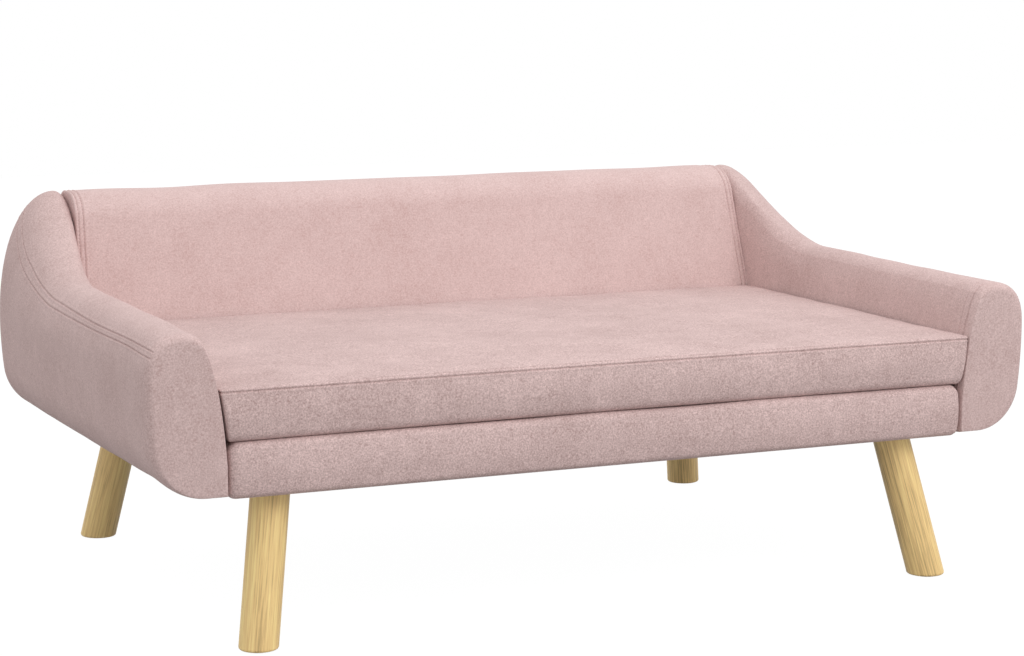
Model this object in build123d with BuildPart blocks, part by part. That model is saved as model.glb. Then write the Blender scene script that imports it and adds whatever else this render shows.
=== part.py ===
from build123d import *
from math import asin, atan2, cos, degrees, hypot, radians, sin, tan
import os

os.makedirs("parts", exist_ok=True)

# A low sofa for a dog: a padded base on four splayed legs, two arms that sweep up into a padded
# back, and a loose seat cushion. Sizes are millimetres. X runs across, the front faces -Y and Z
# is up from the floor. The origin is on the floor under the middle of the sofa.

# Overall sizes
overall_width = 1000
overall_depth = 595
overall_height = 410.5

# Cloth and the room that soft pieces leave each other
cloth_thickness = 1.6
soft_gap = 0.3
cut_overrun = 5

# Base
underside_height = 156.5
base_width = 840
base_setback = 1
base_thickness = 54.5
base_corner_radius = 10
base_edge_radius = 8
base_padding = 8
rail_thickness = 18
deck_thickness = 9
corner_block_length = 70
hem_width = 15
dust_cover_thickness = 1.6

# Arms, as seen from the front: the outline bulges outwards and the inside leans away from the seat
arm_joint_gap = 0.3
arm_step_up = 3
arm_front_height = 320.5
arm_lower_radius = 56
arm_side_lean = 6.5
arm_widest_height = 271
arm_lean_drop = 3
arm_lean = 8
arm_bend_height = 270
arm_front_edge_radius = 6
arm_rear_edge_radius = 24
arm_inner_rear_share = 0.2
# Distances in from the arm's outer side and down from its ridge: at the front, half way up the
# sweep and at the rear
ridge_inboard = (40, 65, 68)
shoulder_inboard = (64.5, 75, 90)
shoulder_drop = (33, 44, 45)

# Arms, as seen from the side: the ridge climbs a little, then sweeps up to the back
ridge_climb = 4
sweep_start = 65
sweep_share = 0.84
hollow_share = 0.635

# Frame inside each arm
arm_board_thickness = 12
arm_board_padding = 4
arm_board_margin = 5
arm_panel_thickness = 9
arm_panel_inboard = 41
arm_panel_top_margin = 30
arm_panel_end_margin = 28
arm_block_length = 40

# Back
back_front = 190
back_lean = 16.3
back_bend_height = 262
back_top_drop = 2.5
back_top_radius = 38
back_rear_radius = 18
back_top_inboard = 84
back_padding = 14
back_end_padding = 15
back_rib_thickness = 12
back_rib_end_margin = 45
back_rib_count = 5
back_board_thickness = 18
back_board_depth = 70
back_panel_thickness = 5
back_top_rail_size = 20

# Seat cushion
cushion_edge_height = 53
cushion_crown = 14
cushion_end_gap = 1.2
cushion_back_gap = 1.5
cushion_back_lean = 6
cushion_corner_radius = 10
cushion_edge_radius = 4

# Zip along the back of the cushion
zip_length = 600
zip_rise = 10.7
zip_slot_height = 12
zip_tape_height = 16
zip_tape_thickness = 1
coil_height = 4.4
coil_thickness = 1.6
zip_stop_length = 3
slider_length = 9
slider_height = 8
slider_wall = 1.5
slider_end_gap = 6
running_gap = 0.15
bridge_length = 6
bridge_thickness = 1.4
bridge_bar = 1
bridge_room = 1.4
pull_length = 15
pull_height = 4.6
pull_thickness = 1

# Legs
leg_diameter = 40
foot_spread_x = 388.4
foot_spread_y = 283.9
leg_top_spread_x = 360.6
leg_top_spread_y = 247
leg_foot_rounding = 2.5
pad_diameter = 28
pad_thickness = 3
pad_proud = 1
plate_size = 64
plate_thickness = 2.5
plate_corner_radius = 6
weld_nut_diameter = 14
weld_nut_height = 7
nut_clearance = 0.5
hanger_bolt_diameter = 8
hanger_bolt_depth = 30
thread_gap = 0.1
plate_screw_diameter = 4
plate_screw_length = 15
plate_screw_head_diameter = 8
plate_screw_head_height = 2.2
plate_screw_spread = 25

# Bolts that hold the arms and the back
bolt_diameter = 8
bolt_hole_diameter = 9
bolt_head_diameter = 14
bolt_head_height = 5
bolt_head_rounding = 1.5
bolt_socket_size = 5
bolt_socket_depth = 3
washer_diameter = 20
washer_thickness = 1.6
arm_bolt_spacing = 150
back_bolt_places = (-300, -120, 120, 300)
tee_nut_flange_diameter = 20
tee_nut_flange_thickness = 1.5
tee_nut_barrel_diameter = 10.5
tee_nut_barrel_length = 9

# Places worked out from the sizes
half_width = overall_width / 2
half_depth = overall_depth / 2
half_base = base_width / 2
half_base_depth = half_depth - base_setback
deck_top = underside_height + base_thickness
lining = cloth_thickness + soft_gap
timber_half_width = half_base - lining - base_padding
timber_half_depth = half_base_depth - lining - base_padding
timber_bottom = underside_height + lining
timber_top = deck_top - lining - base_padding
rail_height = timber_top - deck_thickness - timber_bottom
rail_inner_x = timber_half_width - rail_thickness
rail_inner_y = timber_half_depth - rail_thickness
back_height = overall_height - back_top_drop
arm_inner = half_base + arm_joint_gap
arm_bottom = underside_height + arm_step_up
lean_start_height = deck_top - arm_lean_drop
lean_slope = tan(radians(arm_lean))
arm_bend_x = arm_inner + (arm_bend_height - lean_start_height) * lean_slope
cushion_bottom = deck_top + soft_gap
cushion_half_width = arm_inner + (cushion_bottom - lean_start_height) * lean_slope - cushion_end_gap

# The sweep of an arm's ridge: a hollow arc, a straight rise that touches both arcs, a crest arc
sweep_foot = arm_front_height + ridge_climb
sweep_length = half_depth - sweep_start
sweep_rise = overall_height - sweep_foot
sweep_radii = sweep_share * (sweep_length**2 + sweep_rise**2) / (2 * sweep_rise)
hollow_radius = sweep_radii * hollow_share
crest_radius = sweep_radii - hollow_radius
sweep_slope = asin(sweep_radii / hypot(sweep_length, sweep_rise - sweep_radii)) - atan2(
    sweep_radii - sweep_rise, sweep_length
)
rise_start = sweep_start + hollow_radius * sin(sweep_slope)
rise_start_height = sweep_foot + hollow_radius * (1 - cos(sweep_slope))
rise_end = half_depth - crest_radius * sin(sweep_slope)
rise_end_height = overall_height - crest_radius * (1 - cos(sweep_slope))


def ridge_height(y):
    """Height of the arm's ridge at y: a climbing line, a hollow arc, a straight rise and a crest arc
    that is level at the rear."""
    if y < sweep_start:
        return sweep_foot - ridge_climb * (sweep_start - y) / (sweep_start + half_depth)
    if y < rise_start:
        return sweep_foot + hollow_radius - hollow_radius * cos(asin((y - sweep_start) / hollow_radius))
    if y < rise_end:
        return rise_start_height + (y - rise_start) * tan(sweep_slope)
    return overall_height - crest_radius + crest_radius * cos(asin((half_depth - y) / crest_radius))


def along_sweep(places, y):
    """The value at y of a size that changes with the ridge, from its three values along the sweep."""
    share = (ridge_height(y) - arm_front_height) / (overall_height - arm_front_height)
    front, middle, rear = places
    if share < 1 / 2:
        return front + (middle - front) * share * 2
    return middle + (rear - middle) * (share * 2 - 1)


def arc_points(centre, reach_x, reach_z, start, turn):
    """The four points of a cubic curve along an elliptical arc, which lies within 0.03 % of its reach."""
    handle = tan(radians(turn) / 4) * 4 / 3
    first, last = radians(start), radians(start + turn)
    first_x = centre[0] + reach_x * cos(first)
    first_z = centre[1] + reach_z * sin(first)
    last_x = centre[0] + reach_x * cos(last)
    last_z = centre[1] + reach_z * sin(last)
    return (
        (first_x, first_z),
        (first_x - handle * reach_x * sin(first), first_z + handle * reach_z * cos(first)),
        (last_x + handle * reach_x * sin(last), last_z - handle * reach_z * cos(last)),
        (last_x, last_z),
    )


def arm_section(y, inset, inner_inset):
    """One upright section of the right arm, drawn round from its lower inner corner. It is made outside
    a sketch, which would join its smooth curves, so each gives the loft a light face of its own."""
    inner = arm_inner + inner_inset
    bottom = arm_bottom + inset
    outer = half_width - inset
    top = ridge_height(y) - inset
    ridge = half_width - along_sweep(ridge_inboard, y)
    shoulder = half_width - along_sweep(shoulder_inboard, y) + inner_inset
    shoulder_height = ridge_height(y) - along_sweep(shoulder_drop, y)
    radius = arm_lower_radius - inset
    lean = radians(arm_side_lean)
    side_radius = (arm_widest_height - bottom - radius * (1 - sin(lean))) / sin(lean)
    side_centre = (outer - side_radius, arm_widest_height)
    lower_centre = outer - side_radius * (1 - cos(lean)) - radius * cos(lean)
    bend = (arm_bend_x + inner_inset, arm_bend_height)
    lean_start = (inner, lean_start_height)
    outline = [
        Line((inner, bottom), (lower_centre, bottom)),
        Bezier(*arc_points((lower_centre, bottom + radius), radius, radius, -90, 90 - arm_side_lean)),
        Bezier(*arc_points(side_centre, side_radius, side_radius, -arm_side_lean, arm_side_lean)),
        Bezier(*arc_points((ridge, arm_widest_height), outer - ridge, top - arm_widest_height, 0, 90)),
        Bezier(*arc_points((ridge, shoulder_height), ridge - shoulder, top - shoulder_height, 90, 90)),
        Line((shoulder, shoulder_height), bend),
        Line(bend, lean_start),
        Line(lean_start, (inner, bottom)),
    ]
    return Plane.XZ.offset(-y) * Face(Wire(outline))


def arm_form(inset):
    """The right arm's form, drawn in by inset on every side: a smooth loft through upright sections
    that shrink over its rounded front and rear edges."""
    front_radius = arm_front_edge_radius - inset
    rear_radius = arm_rear_edge_radius - inset
    front = -half_depth + inset
    rear = half_depth - inset
    front_turns = (72, 36, 0)
    settle_shares = (1.2, 4)
    run_shares = (0.22, 0.42, 0.6)
    sweep_shares = (0, 0.16, 0.3, 0.44, 0.58, 0.72, 0.86)
    rear_turns = (0, 28, 52, 74)
    sections = []
    for turn in front_turns:
        drawn_in = front_radius * (1 - cos(radians(turn)))
        y = front + front_radius * (1 - sin(radians(turn)))
        sections.append(arm_section(y, inset + drawn_in, inset + drawn_in))
    for share in settle_shares:
        sections.append(arm_section(front + front_radius * (1 + share), inset, inset))
    for share in run_shares:
        sections.append(arm_section(front + (sweep_start - front) * share, inset, inset))
    sweep_end = rear - rear_radius
    for share in sweep_shares:
        sections.append(arm_section(sweep_start + (sweep_end - sweep_start) * share, inset, inset))
    for turn in rear_turns:
        drawn_in = rear_radius * (1 - cos(radians(turn)))
        y = rear - rear_radius * (1 - sin(radians(turn)))
        sections.append(arm_section(y, inset + drawn_in, inset + drawn_in * arm_inner_rear_share))
    with BuildPart() as form:
        loft(sections)
    return form.part


def back_profile(inset):
    """The back's upright section: an upright foot, a leaning front, a round top edge and a flat rear."""
    lean = radians(back_lean)
    centre_height = back_height - back_top_radius
    touch_height = centre_height + back_top_radius * sin(lean)
    centre = back_front + (touch_height - back_bend_height) * tan(lean) + back_top_radius * cos(lean)
    rear = half_base_depth - inset
    bottom = deck_top + inset
    bend = (back_front + inset, back_bend_height - inset * tan(lean / 2))
    rear_centre = half_base_depth - back_rear_radius
    rear_centre_height = back_height - back_rear_radius
    with BuildSketch(Plane.YZ.offset(-half_width)) as profile:
        with BuildLine():
            front_line = CenterArc(
                (centre, centre_height), back_top_radius - inset, 180 - back_lean, back_lean - 90
            )
            Line(bend, front_line @ 0)
            Line((back_front + inset, bottom), bend)
            rear_line = CenterArc((rear_centre, rear_centre_height), back_rear_radius - inset, 90, -90)
            Line(front_line @ 1, rear_line @ 0)
            Line(rear_line @ 1, (rear, bottom))
            Line((rear, bottom), (back_front + inset, bottom))
        make_face()
    return profile.sketch


def back_form(inset):
    """The back's form, drawn in by inset, with its ends cut to fit against both arms."""
    right_arm = arm_form(-soft_gap - inset)
    foot_reach = arm_bend_x - inset
    top_reach = half_width - back_top_inboard - inset
    with BuildPart() as form:
        extrude(back_profile(inset), amount=overall_width)
        with BuildSketch(Plane.XZ.offset(-half_width)):
            with BuildLine():
                Polyline(
                    (-foot_reach, underside_height),
                    (foot_reach, underside_height),
                    (foot_reach, arm_bend_height),
                    (top_reach, overall_height),
                    (-top_reach, overall_height),
                    (-foot_reach, arm_bend_height),
                    close=True,
                )
            make_face()
        extrude(amount=overall_width, mode=Mode.INTERSECT)
        add(right_arm, mode=Mode.SUBTRACT)
        add(right_arm.mirror(Plane.YZ), mode=Mode.SUBTRACT)
    return form.part


def base_form(inset):
    """The base's form, a box with rounded corners and edges, drawn in by inset."""
    width = 2 * (half_base - inset)
    depth = 2 * (half_base_depth - inset)
    with BuildPart() as form:
        with BuildSketch(Plane.XY.offset(underside_height + inset)):
            RectangleRounded(width, depth, base_corner_radius - inset)
        extrude(amount=base_thickness - 2 * inset)
        fillet(form.faces().filter_by(Axis.Z).edges(), base_edge_radius - inset)
    return form.part


def cushion_rear(z):
    """Where the cushion's flat rear side lies at height z: it leans back like the sofa's back."""
    share = (z - cushion_bottom) / cushion_edge_height
    return back_front - cushion_back_gap - cushion_back_lean * (1 - share)


def cushion_form(inset):
    """The cushion's form, drawn in by inset: a pad under a low arc from front to rear, with a leaning
    rear, round front corners and rounded edges."""
    bottom = cushion_bottom + inset
    edge = cushion_bottom + cushion_edge_height - inset
    front = -half_depth + inset
    rear_bottom = cushion_rear(cushion_bottom) - inset
    rear = cushion_rear(cushion_bottom + cushion_edge_height) - inset
    half_span = cushion_half_width - inset
    with BuildPart() as form:
        with BuildSketch(Plane.YZ.offset(-half_span)):
            with BuildLine():
                Polyline((front, edge), (front, bottom), (rear_bottom, bottom), (rear, edge))
                ThreePointArc((rear, edge), ((front + rear) / 2, edge + cushion_crown), (front, edge))
            make_face()
        extrude(amount=2 * half_span)
        fillet(form.edges().filter_by(Axis.Z), cushion_corner_radius - inset)
        fillet(form.edges().filter_by(Axis.Z, reverse=True), cushion_edge_radius - inset)
    return form.part


# Places of the legs, their plates and their screws
dust_cover_bottom = timber_bottom - soft_gap - dust_cover_thickness
plate_bottom = dust_cover_bottom - plate_thickness
leg_corners = {"front_left": (-1, -1), "front_right": (1, -1), "rear_left": (-1, 1), "rear_right": (1, 1)}
leg_tops = [(x * leg_top_spread_x, y * leg_top_spread_y) for x, y in leg_corners.values()]
leg_feet = [(x * foot_spread_x, y * foot_spread_y) for x, y in leg_corners.values()]
screw_steps = (-plate_screw_spread, plate_screw_spread)
screw_places = [(x + dx, y + dy) for x, y in leg_tops for dx in screw_steps for dy in screw_steps]

# Places of the arm's and the back's frame pieces
arm_board_inner = arm_inner + lining + arm_board_padding
arm_board_outer = arm_board_inner + arm_board_thickness
arm_board_bottom = arm_bottom + lining + arm_board_margin
arm_board_height = lean_start_height - arm_board_margin - arm_board_bottom
arm_frame_half_depth = half_depth - arm_panel_end_margin
arm_panel_inner = half_width - arm_panel_inboard - arm_panel_thickness
back_board_bottom = deck_top + lining
back_board_top = back_board_bottom + back_board_thickness
back_board_front = timber_half_depth - back_board_depth
back_frame_half_width = arm_inner - back_end_padding
back_panel_front = timber_half_depth - back_panel_thickness
top_rail_top = back_height - lining - back_padding
top_rail_bottom = top_rail_top - back_top_rail_size

# Planes where the washers of the bolts lie, each facing along its bolt
arm_bolt_height = timber_bottom + rail_height / 2
arm_bolt_places = [(side, step * arm_bolt_spacing) for side in (1, -1) for step in (-1, 0, 1)]
arm_bolt_planes = [
    Plane(origin=(side * rail_inner_x, y, arm_bolt_height), x_dir=(0, 1, 0), z_dir=(side, 0, 0))
    for side, y in arm_bolt_places
]
back_bolt_y = timber_half_depth - back_board_depth / 2
back_bolt_planes = [Plane(origin=(x, back_bolt_y, timber_bottom + rail_height)) for x in back_bolt_places]
bolt_planes = arm_bolt_planes + back_bolt_planes
head_planes = [plane.offset(-washer_thickness) for plane in bolt_planes]
socket_planes = [plane.offset(-bolt_head_height) for plane in head_planes]
arm_bolt_reach = arm_board_outer - rail_inner_x
back_bolt_reach = back_board_top - timber_bottom - rail_height
arm_nut_planes = [plane.offset(arm_bolt_reach) for plane in arm_bolt_planes]
back_nut_planes = [plane.offset(back_bolt_reach) for plane in back_bolt_planes]
nut_planes = arm_nut_planes + back_nut_planes
barrel_planes = [plane.offset(-tee_nut_barrel_length) for plane in nut_planes]

# Holes that several pieces share
with BuildPart() as bolt_holes:
    with BuildSketch(*arm_bolt_planes):
        Circle(bolt_hole_diameter / 2)
    extrude(amount=arm_bolt_reach - tee_nut_barrel_length)
    with BuildSketch(*back_bolt_planes):
        Circle(bolt_hole_diameter / 2)
    extrude(amount=back_bolt_reach - tee_nut_barrel_length)
    with BuildSketch(*nut_planes):
        Circle(tee_nut_barrel_diameter / 2 + thread_gap)
    extrude(amount=-tee_nut_barrel_length - thread_gap)
    with BuildSketch(*nut_planes):
        Circle(tee_nut_flange_diameter / 2 + soft_gap)
    extrude(amount=tee_nut_flange_thickness + soft_gap)

with BuildPart() as screw_holes:
    with BuildSketch(Plane.XY.offset(plate_bottom)):
        with Locations(*screw_places):
            Circle(plate_screw_diameter / 2 + thread_gap)
    extrude(amount=plate_screw_length + thread_gap)

with BuildPart() as plate_holes:
    add(screw_holes.part)
    with BuildSketch(Plane.XY.offset(dust_cover_bottom)):
        with Locations(*leg_tops):
            Circle(weld_nut_diameter / 2 + nut_clearance)
    extrude(amount=weld_nut_height + nut_clearance)

# Base: rails
for name, side in (("front_rail", -1), ("rear_rail", 1)):
    with BuildPart() as rail:
        with BuildSketch(Plane.XY.offset(timber_bottom)):
            with Locations((0, side * (rail_inner_y + rail_thickness / 2))):
                Rectangle(2 * timber_half_width, rail_thickness)
        extrude(amount=rail_height)
        add(plate_holes.part, mode=Mode.SUBTRACT)
    rail.part.label = name
    export_step(rail.part, f"parts/{name}.step")

for name, side in (("left_rail", -1), ("right_rail", 1)):
    with BuildPart() as rail:
        with BuildSketch(Plane.XY.offset(timber_bottom)):
            with Locations((side * (rail_inner_x + rail_thickness / 2), 0)):
                Rectangle(rail_thickness, 2 * rail_inner_y)
        extrude(amount=rail_height)
        add(bolt_holes.part, mode=Mode.SUBTRACT)
    rail.part.label = name
    export_step(rail.part, f"parts/{name}.step")

with BuildPart() as centre_rail:
    with BuildSketch(Plane.XY.offset(timber_bottom)):
        Rectangle(rail_thickness, 2 * rail_inner_y)
    extrude(amount=rail_height)
centre_rail.part.label = "centre_rail"
export_step(centre_rail.part, "parts/centre_rail.step")

# Base: blocks that fill the rails' corners and take the leg plates
with BuildPart() as corner_blocks:
    block_x = rail_inner_x - corner_block_length / 2
    block_y = rail_inner_y - corner_block_length / 2
    with BuildSketch(Plane.XY.offset(timber_bottom)):
        with GridLocations(2 * block_x, 2 * block_y, 2, 2):
            Rectangle(corner_block_length, corner_block_length)
    extrude(amount=rail_height)
    add(plate_holes.part, mode=Mode.SUBTRACT)
corner_blocks.part.label = "corner_blocks"
export_step(corner_blocks.part, "parts/corner_blocks.step")

# Base: board on the rails
with BuildPart() as deck_board:
    with BuildSketch(Plane.XY.offset(timber_bottom + rail_height)):
        Rectangle(2 * timber_half_width, 2 * timber_half_depth)
    extrude(amount=deck_thickness)
    add(bolt_holes.part, mode=Mode.SUBTRACT)
deck_board.part.label = "deck_board"
export_step(deck_board.part, "parts/deck_board.step")

# Base: foam over the frame, open below
with BuildPart() as base_foam:
    add(base_form(lining))
    with BuildSketch(Plane.XY.offset(underside_height)):
        Rectangle(2 * timber_half_width, 2 * timber_half_depth)
    extrude(amount=timber_top - underside_height, mode=Mode.SUBTRACT)
    add(bolt_holes.part, mode=Mode.SUBTRACT)
base_foam.part.label = "base_foam"
export_step(base_foam.part, "parts/base_foam.step")

# Base: cloth cover, turned in below as a hem round an open window
window_width = 2 * (half_base - hem_width)
window_depth = 2 * (half_base_depth - hem_width)
with BuildPart() as base_cover:
    add(base_form(0))
    add(base_form(cloth_thickness), mode=Mode.SUBTRACT)
    with BuildSketch(Plane.XY.offset(underside_height)):
        Rectangle(window_width, window_depth)
    extrude(amount=lining, mode=Mode.SUBTRACT)
    add(bolt_holes.part, mode=Mode.SUBTRACT)
base_cover.part.label = "base_cover"
export_step(base_cover.part, "parts/base_cover.step")

# Base: dust cover that closes the window from below
with BuildPart() as dust_cover:
    with BuildSketch(Plane.XY.offset(dust_cover_bottom)):
        Rectangle(window_width - 2 * soft_gap, window_depth - 2 * soft_gap)
    extrude(amount=dust_cover_thickness)
    add(plate_holes.part, mode=Mode.SUBTRACT)
dust_cover.part.label = "dust_cover"
export_step(dust_cover.part, "parts/dust_cover.step")

# Legs: each plate has a welded nut on top, and each leg leans out to its foot
for (corner, sides), top, foot in zip(leg_corners.items(), leg_tops, leg_feet):
    with BuildPart() as leg_plate:
        with BuildSketch(Plane.XY.offset(plate_bottom)):
            with Locations(top):
                RectangleRounded(plate_size, plate_size, plate_corner_radius)
        extrude(amount=plate_thickness)
        with BuildSketch(Plane.XY.offset(dust_cover_bottom)):
            with Locations(top):
                Circle(weld_nut_diameter / 2)
        extrude(amount=weld_nut_height)
        with BuildSketch(Plane.XY.offset(plate_bottom)):
            with Locations(top):
                Circle(hanger_bolt_diameter / 2 + thread_gap)
        extrude(amount=plate_thickness + weld_nut_height, mode=Mode.SUBTRACT)
        add(screw_holes.part, mode=Mode.SUBTRACT)
    leg_plate.part.label = f"leg_plate_{corner}"
    export_step(leg_plate.part, f"parts/leg_plate_{corner}.step")

    lean = Vector(top[0] - foot[0], top[1] - foot[1], underside_height)
    with BuildPart() as leg:
        with BuildSketch(Plane(origin=(foot[0], foot[1], 0), z_dir=lean).offset(-leg_diameter)):
            Circle(leg_diameter / 2)
        extrude(amount=lean.length + 2 * leg_diameter)
        split(bisect_by=Plane.XY.offset(pad_proud), keep=Keep.TOP)
        split(bisect_by=Plane.XY.offset(plate_bottom), keep=Keep.BOTTOM)
        fillet(leg.faces().sort_by(Axis.Z)[0].edges(), leg_foot_rounding)
        with BuildSketch(Plane.XY):
            with Locations(foot):
                Circle(pad_diameter / 2 + thread_gap)
        extrude(amount=pad_thickness, mode=Mode.SUBTRACT)
        with BuildSketch(Plane.XY.offset(plate_bottom - hanger_bolt_depth - thread_gap)):
            with Locations(top):
                Circle(hanger_bolt_diameter / 2 + thread_gap)
        extrude(amount=hanger_bolt_depth + thread_gap, mode=Mode.SUBTRACT)
    leg.part.label = f"leg_{corner}"
    export_step(leg.part, f"parts/leg_{corner}.step")

with BuildPart() as foot_pads:
    with BuildSketch(Plane.XY):
        with Locations(*leg_feet):
            Circle(pad_diameter / 2)
    extrude(amount=pad_thickness)
foot_pads.part.label = "foot_pads"
export_step(foot_pads.part, "parts/foot_pads.step")

with BuildPart() as hanger_bolts:
    with BuildSketch(Plane.XY.offset(plate_bottom - hanger_bolt_depth)):
        with Locations(*leg_tops):
            Circle(hanger_bolt_diameter / 2)
    extrude(amount=hanger_bolt_depth + plate_thickness + weld_nut_height)
hanger_bolts.part.label = "hanger_bolts"
export_step(hanger_bolts.part, "parts/hanger_bolts.step")

with BuildPart() as plate_screws:
    with BuildSketch(Plane.XY.offset(plate_bottom)):
        with Locations(*screw_places):
            Circle(plate_screw_diameter / 2)
    extrude(amount=plate_screw_length)
    with BuildSketch(Plane.XY.offset(plate_bottom)):
        with Locations(*screw_places):
            Circle(plate_screw_head_diameter / 2)
    extrude(amount=-plate_screw_head_height)
    fillet(plate_screws.faces().group_by(Axis.Z)[0].edges(), plate_screw_head_height / 2)
plate_screws.part.label = "plate_screws"
export_step(plate_screws.part, "parts/plate_screws.step")

# Bolts, washers and tee nuts that hold the arms to the side rails and the back to the deck board
with BuildPart() as frame_bolts:
    with BuildSketch(*arm_bolt_planes):
        Circle(bolt_diameter / 2)
    extrude(amount=arm_bolt_reach + tee_nut_flange_thickness)
    with BuildSketch(*back_bolt_planes):
        Circle(bolt_diameter / 2)
    extrude(amount=back_bolt_reach + tee_nut_flange_thickness)
    with BuildSketch(*bolt_planes):
        Circle(bolt_diameter / 2)
    extrude(amount=-washer_thickness)
    with BuildSketch(*head_planes):
        Circle(bolt_head_diameter / 2)
    extrude(amount=-bolt_head_height)
    with BuildSketch(*socket_planes):
        RegularPolygon(bolt_socket_size / 2, 6, major_radius=False)
    extrude(amount=bolt_socket_depth, mode=Mode.SUBTRACT)
frame_bolts.part.label = "frame_bolts"
export_step(frame_bolts.part, "parts/frame_bolts.step")

with BuildPart() as bolt_washers:
    with BuildSketch(*bolt_planes):
        Circle(washer_diameter / 2)
        Circle(bolt_hole_diameter / 2, mode=Mode.SUBTRACT)
    extrude(amount=-washer_thickness)
bolt_washers.part.label = "bolt_washers"
export_step(bolt_washers.part, "parts/bolt_washers.step")

with BuildPart() as tee_nuts:
    with BuildSketch(*nut_planes):
        Circle(tee_nut_flange_diameter / 2)
    extrude(amount=tee_nut_flange_thickness)
    with BuildSketch(*nut_planes):
        Circle(tee_nut_barrel_diameter / 2)
    extrude(amount=-tee_nut_barrel_length)
    with BuildSketch(*barrel_planes):
        Circle(bolt_diameter / 2 + thread_gap)
    extrude(amount=tee_nut_barrel_length + tee_nut_flange_thickness, mode=Mode.SUBTRACT)
tee_nuts.part.label = "tee_nuts"
export_step(tee_nuts.part, "parts/tee_nuts.step")

# Right arm: bolt board, side panel whose top follows the sweep, and the blocks between them
with BuildPart() as arm_board:
    with BuildSketch(Plane.YZ.offset(arm_board_inner)):
        with Locations((0, arm_board_bottom + arm_board_height / 2)):
            Rectangle(2 * arm_frame_half_depth, arm_board_height)
    extrude(amount=arm_board_thickness)
    add(bolt_holes.part, mode=Mode.SUBTRACT)

with BuildPart() as arm_panel:
    margin = arm_panel_top_margin
    turn = degrees(sweep_slope)
    with BuildSketch(Plane.YZ.offset(arm_panel_inner)):
        with BuildLine():
            Polyline(
                (half_depth, overall_height - margin),
                (half_depth, arm_board_bottom),
                (-half_depth, arm_board_bottom),
                (-half_depth, arm_front_height - margin),
                (sweep_start, sweep_foot - margin),
            )
            CenterArc((sweep_start, sweep_foot - margin + hollow_radius), hollow_radius, -90, turn)
            Line((rise_start, rise_start_height - margin), (rise_end, rise_end_height - margin))
            CenterArc((half_depth, overall_height - margin - crest_radius), crest_radius, 90, turn)
        make_face()
        Rectangle(2 * arm_frame_half_depth, 2 * overall_height, mode=Mode.INTERSECT)
    extrude(amount=arm_panel_thickness)

with BuildPart() as arm_blocks:
    block_reach = arm_frame_half_depth - arm_block_length / 2
    with BuildSketch(Plane.YZ.offset(arm_board_outer)):
        for step in (-1, 1):
            for y in (block_reach, arm_bolt_spacing / 2):
                with Locations((step * y, arm_board_bottom + arm_board_height / 2)):
                    Rectangle(arm_block_length, arm_board_height)
    extrude(amount=arm_panel_inner - arm_board_outer)

arm_outside = arm_form(0)
arm_cloth_inside = arm_form(cloth_thickness)
arm_filling = arm_form(lining)

with BuildPart() as arm_foam:
    add(arm_filling)
    add(arm_board.part, mode=Mode.SUBTRACT)
    add(arm_panel.part, mode=Mode.SUBTRACT)
    add(arm_blocks.part, mode=Mode.SUBTRACT)
    add(bolt_holes.part, mode=Mode.SUBTRACT)

with BuildPart() as arm_cover:
    add(arm_outside)
    add(arm_cloth_inside, mode=Mode.SUBTRACT)
    add(bolt_holes.part, mode=Mode.SUBTRACT)

# Both arms: the left one is the right one mirrored
arm_pieces = {
    "board": arm_board.part,
    "panel": arm_panel.part,
    "blocks": arm_blocks.part,
    "foam": arm_foam.part,
    "cover": arm_cover.part,
}
for name, piece in arm_pieces.items():
    with BuildPart() as right_piece:
        add(piece)
    right_piece.part.label = f"right_arm_{name}"
    export_step(right_piece.part, f"parts/right_arm_{name}.step")
    with BuildPart() as left_piece:
        add(piece.mirror(Plane.YZ))
    left_piece.part.label = f"left_arm_{name}"
    export_step(left_piece.part, f"parts/left_arm_{name}.step")

# Back: bottom board
with BuildPart() as back_board:
    with BuildSketch(Plane.XY.offset(back_board_bottom)):
        with Locations((0, back_bolt_y)):
            Rectangle(2 * back_frame_half_width, back_board_depth)
    extrude(amount=back_board_thickness)
    add(bolt_holes.part, mode=Mode.SUBTRACT)
back_board.part.label = "back_board"
export_step(back_board.part, "parts/back_board.step")

# Back: ribs whose front edge leans as the back does
lean_tan = tan(radians(back_lean))
lean_line_start = back_front + lining + back_padding
rib_bend_height = back_bend_height + (back_board_front - lean_line_start) / lean_tan
rib_top_front = lean_line_start + (top_rail_bottom - back_bend_height) * lean_tan
rib_reach = arm_inner - back_rib_end_margin
rib_step = 2 * rib_reach / (back_rib_count - 1)
rib_places = [index * rib_step - rib_reach for index in range(back_rib_count)]
rib_planes = [Plane.YZ.offset(place - back_rib_thickness / 2) for place in rib_places]
with BuildPart() as back_ribs:
    with BuildSketch(*rib_planes):
        with BuildLine():
            Polyline(
                (back_board_front, back_board_top),
                (back_panel_front, back_board_top),
                (back_panel_front, top_rail_bottom),
                (rib_top_front, top_rail_bottom),
                (back_board_front, rib_bend_height),
                close=True,
            )
        make_face()
    extrude(amount=back_rib_thickness)
back_ribs.part.label = "back_ribs"
export_step(back_ribs.part, "parts/back_ribs.step")

# Back: rear panel and top rail
with BuildPart() as back_panel:
    with BuildSketch(Plane.XY.offset(back_board_top)):
        with Locations((0, back_panel_front + back_panel_thickness / 2)):
            Rectangle(2 * back_frame_half_width, back_panel_thickness)
    extrude(amount=top_rail_top - back_board_top)
back_panel.part.label = "back_panel"
export_step(back_panel.part, "parts/back_panel.step")

with BuildPart() as back_top_rail:
    with BuildSketch(Plane.XY.offset(top_rail_bottom)):
        with Locations((0, back_panel_front - back_top_rail_size / 2)):
            Rectangle(2 * back_frame_half_width, back_top_rail_size)
    extrude(amount=back_top_rail_size)
back_top_rail.part.label = "back_top_rail"
export_step(back_top_rail.part, "parts/back_top_rail.step")

# Back: foam round the frame, and cover
back_outside = back_form(0)
back_cloth_inside = back_form(cloth_thickness)
back_filling = back_form(lining)

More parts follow.
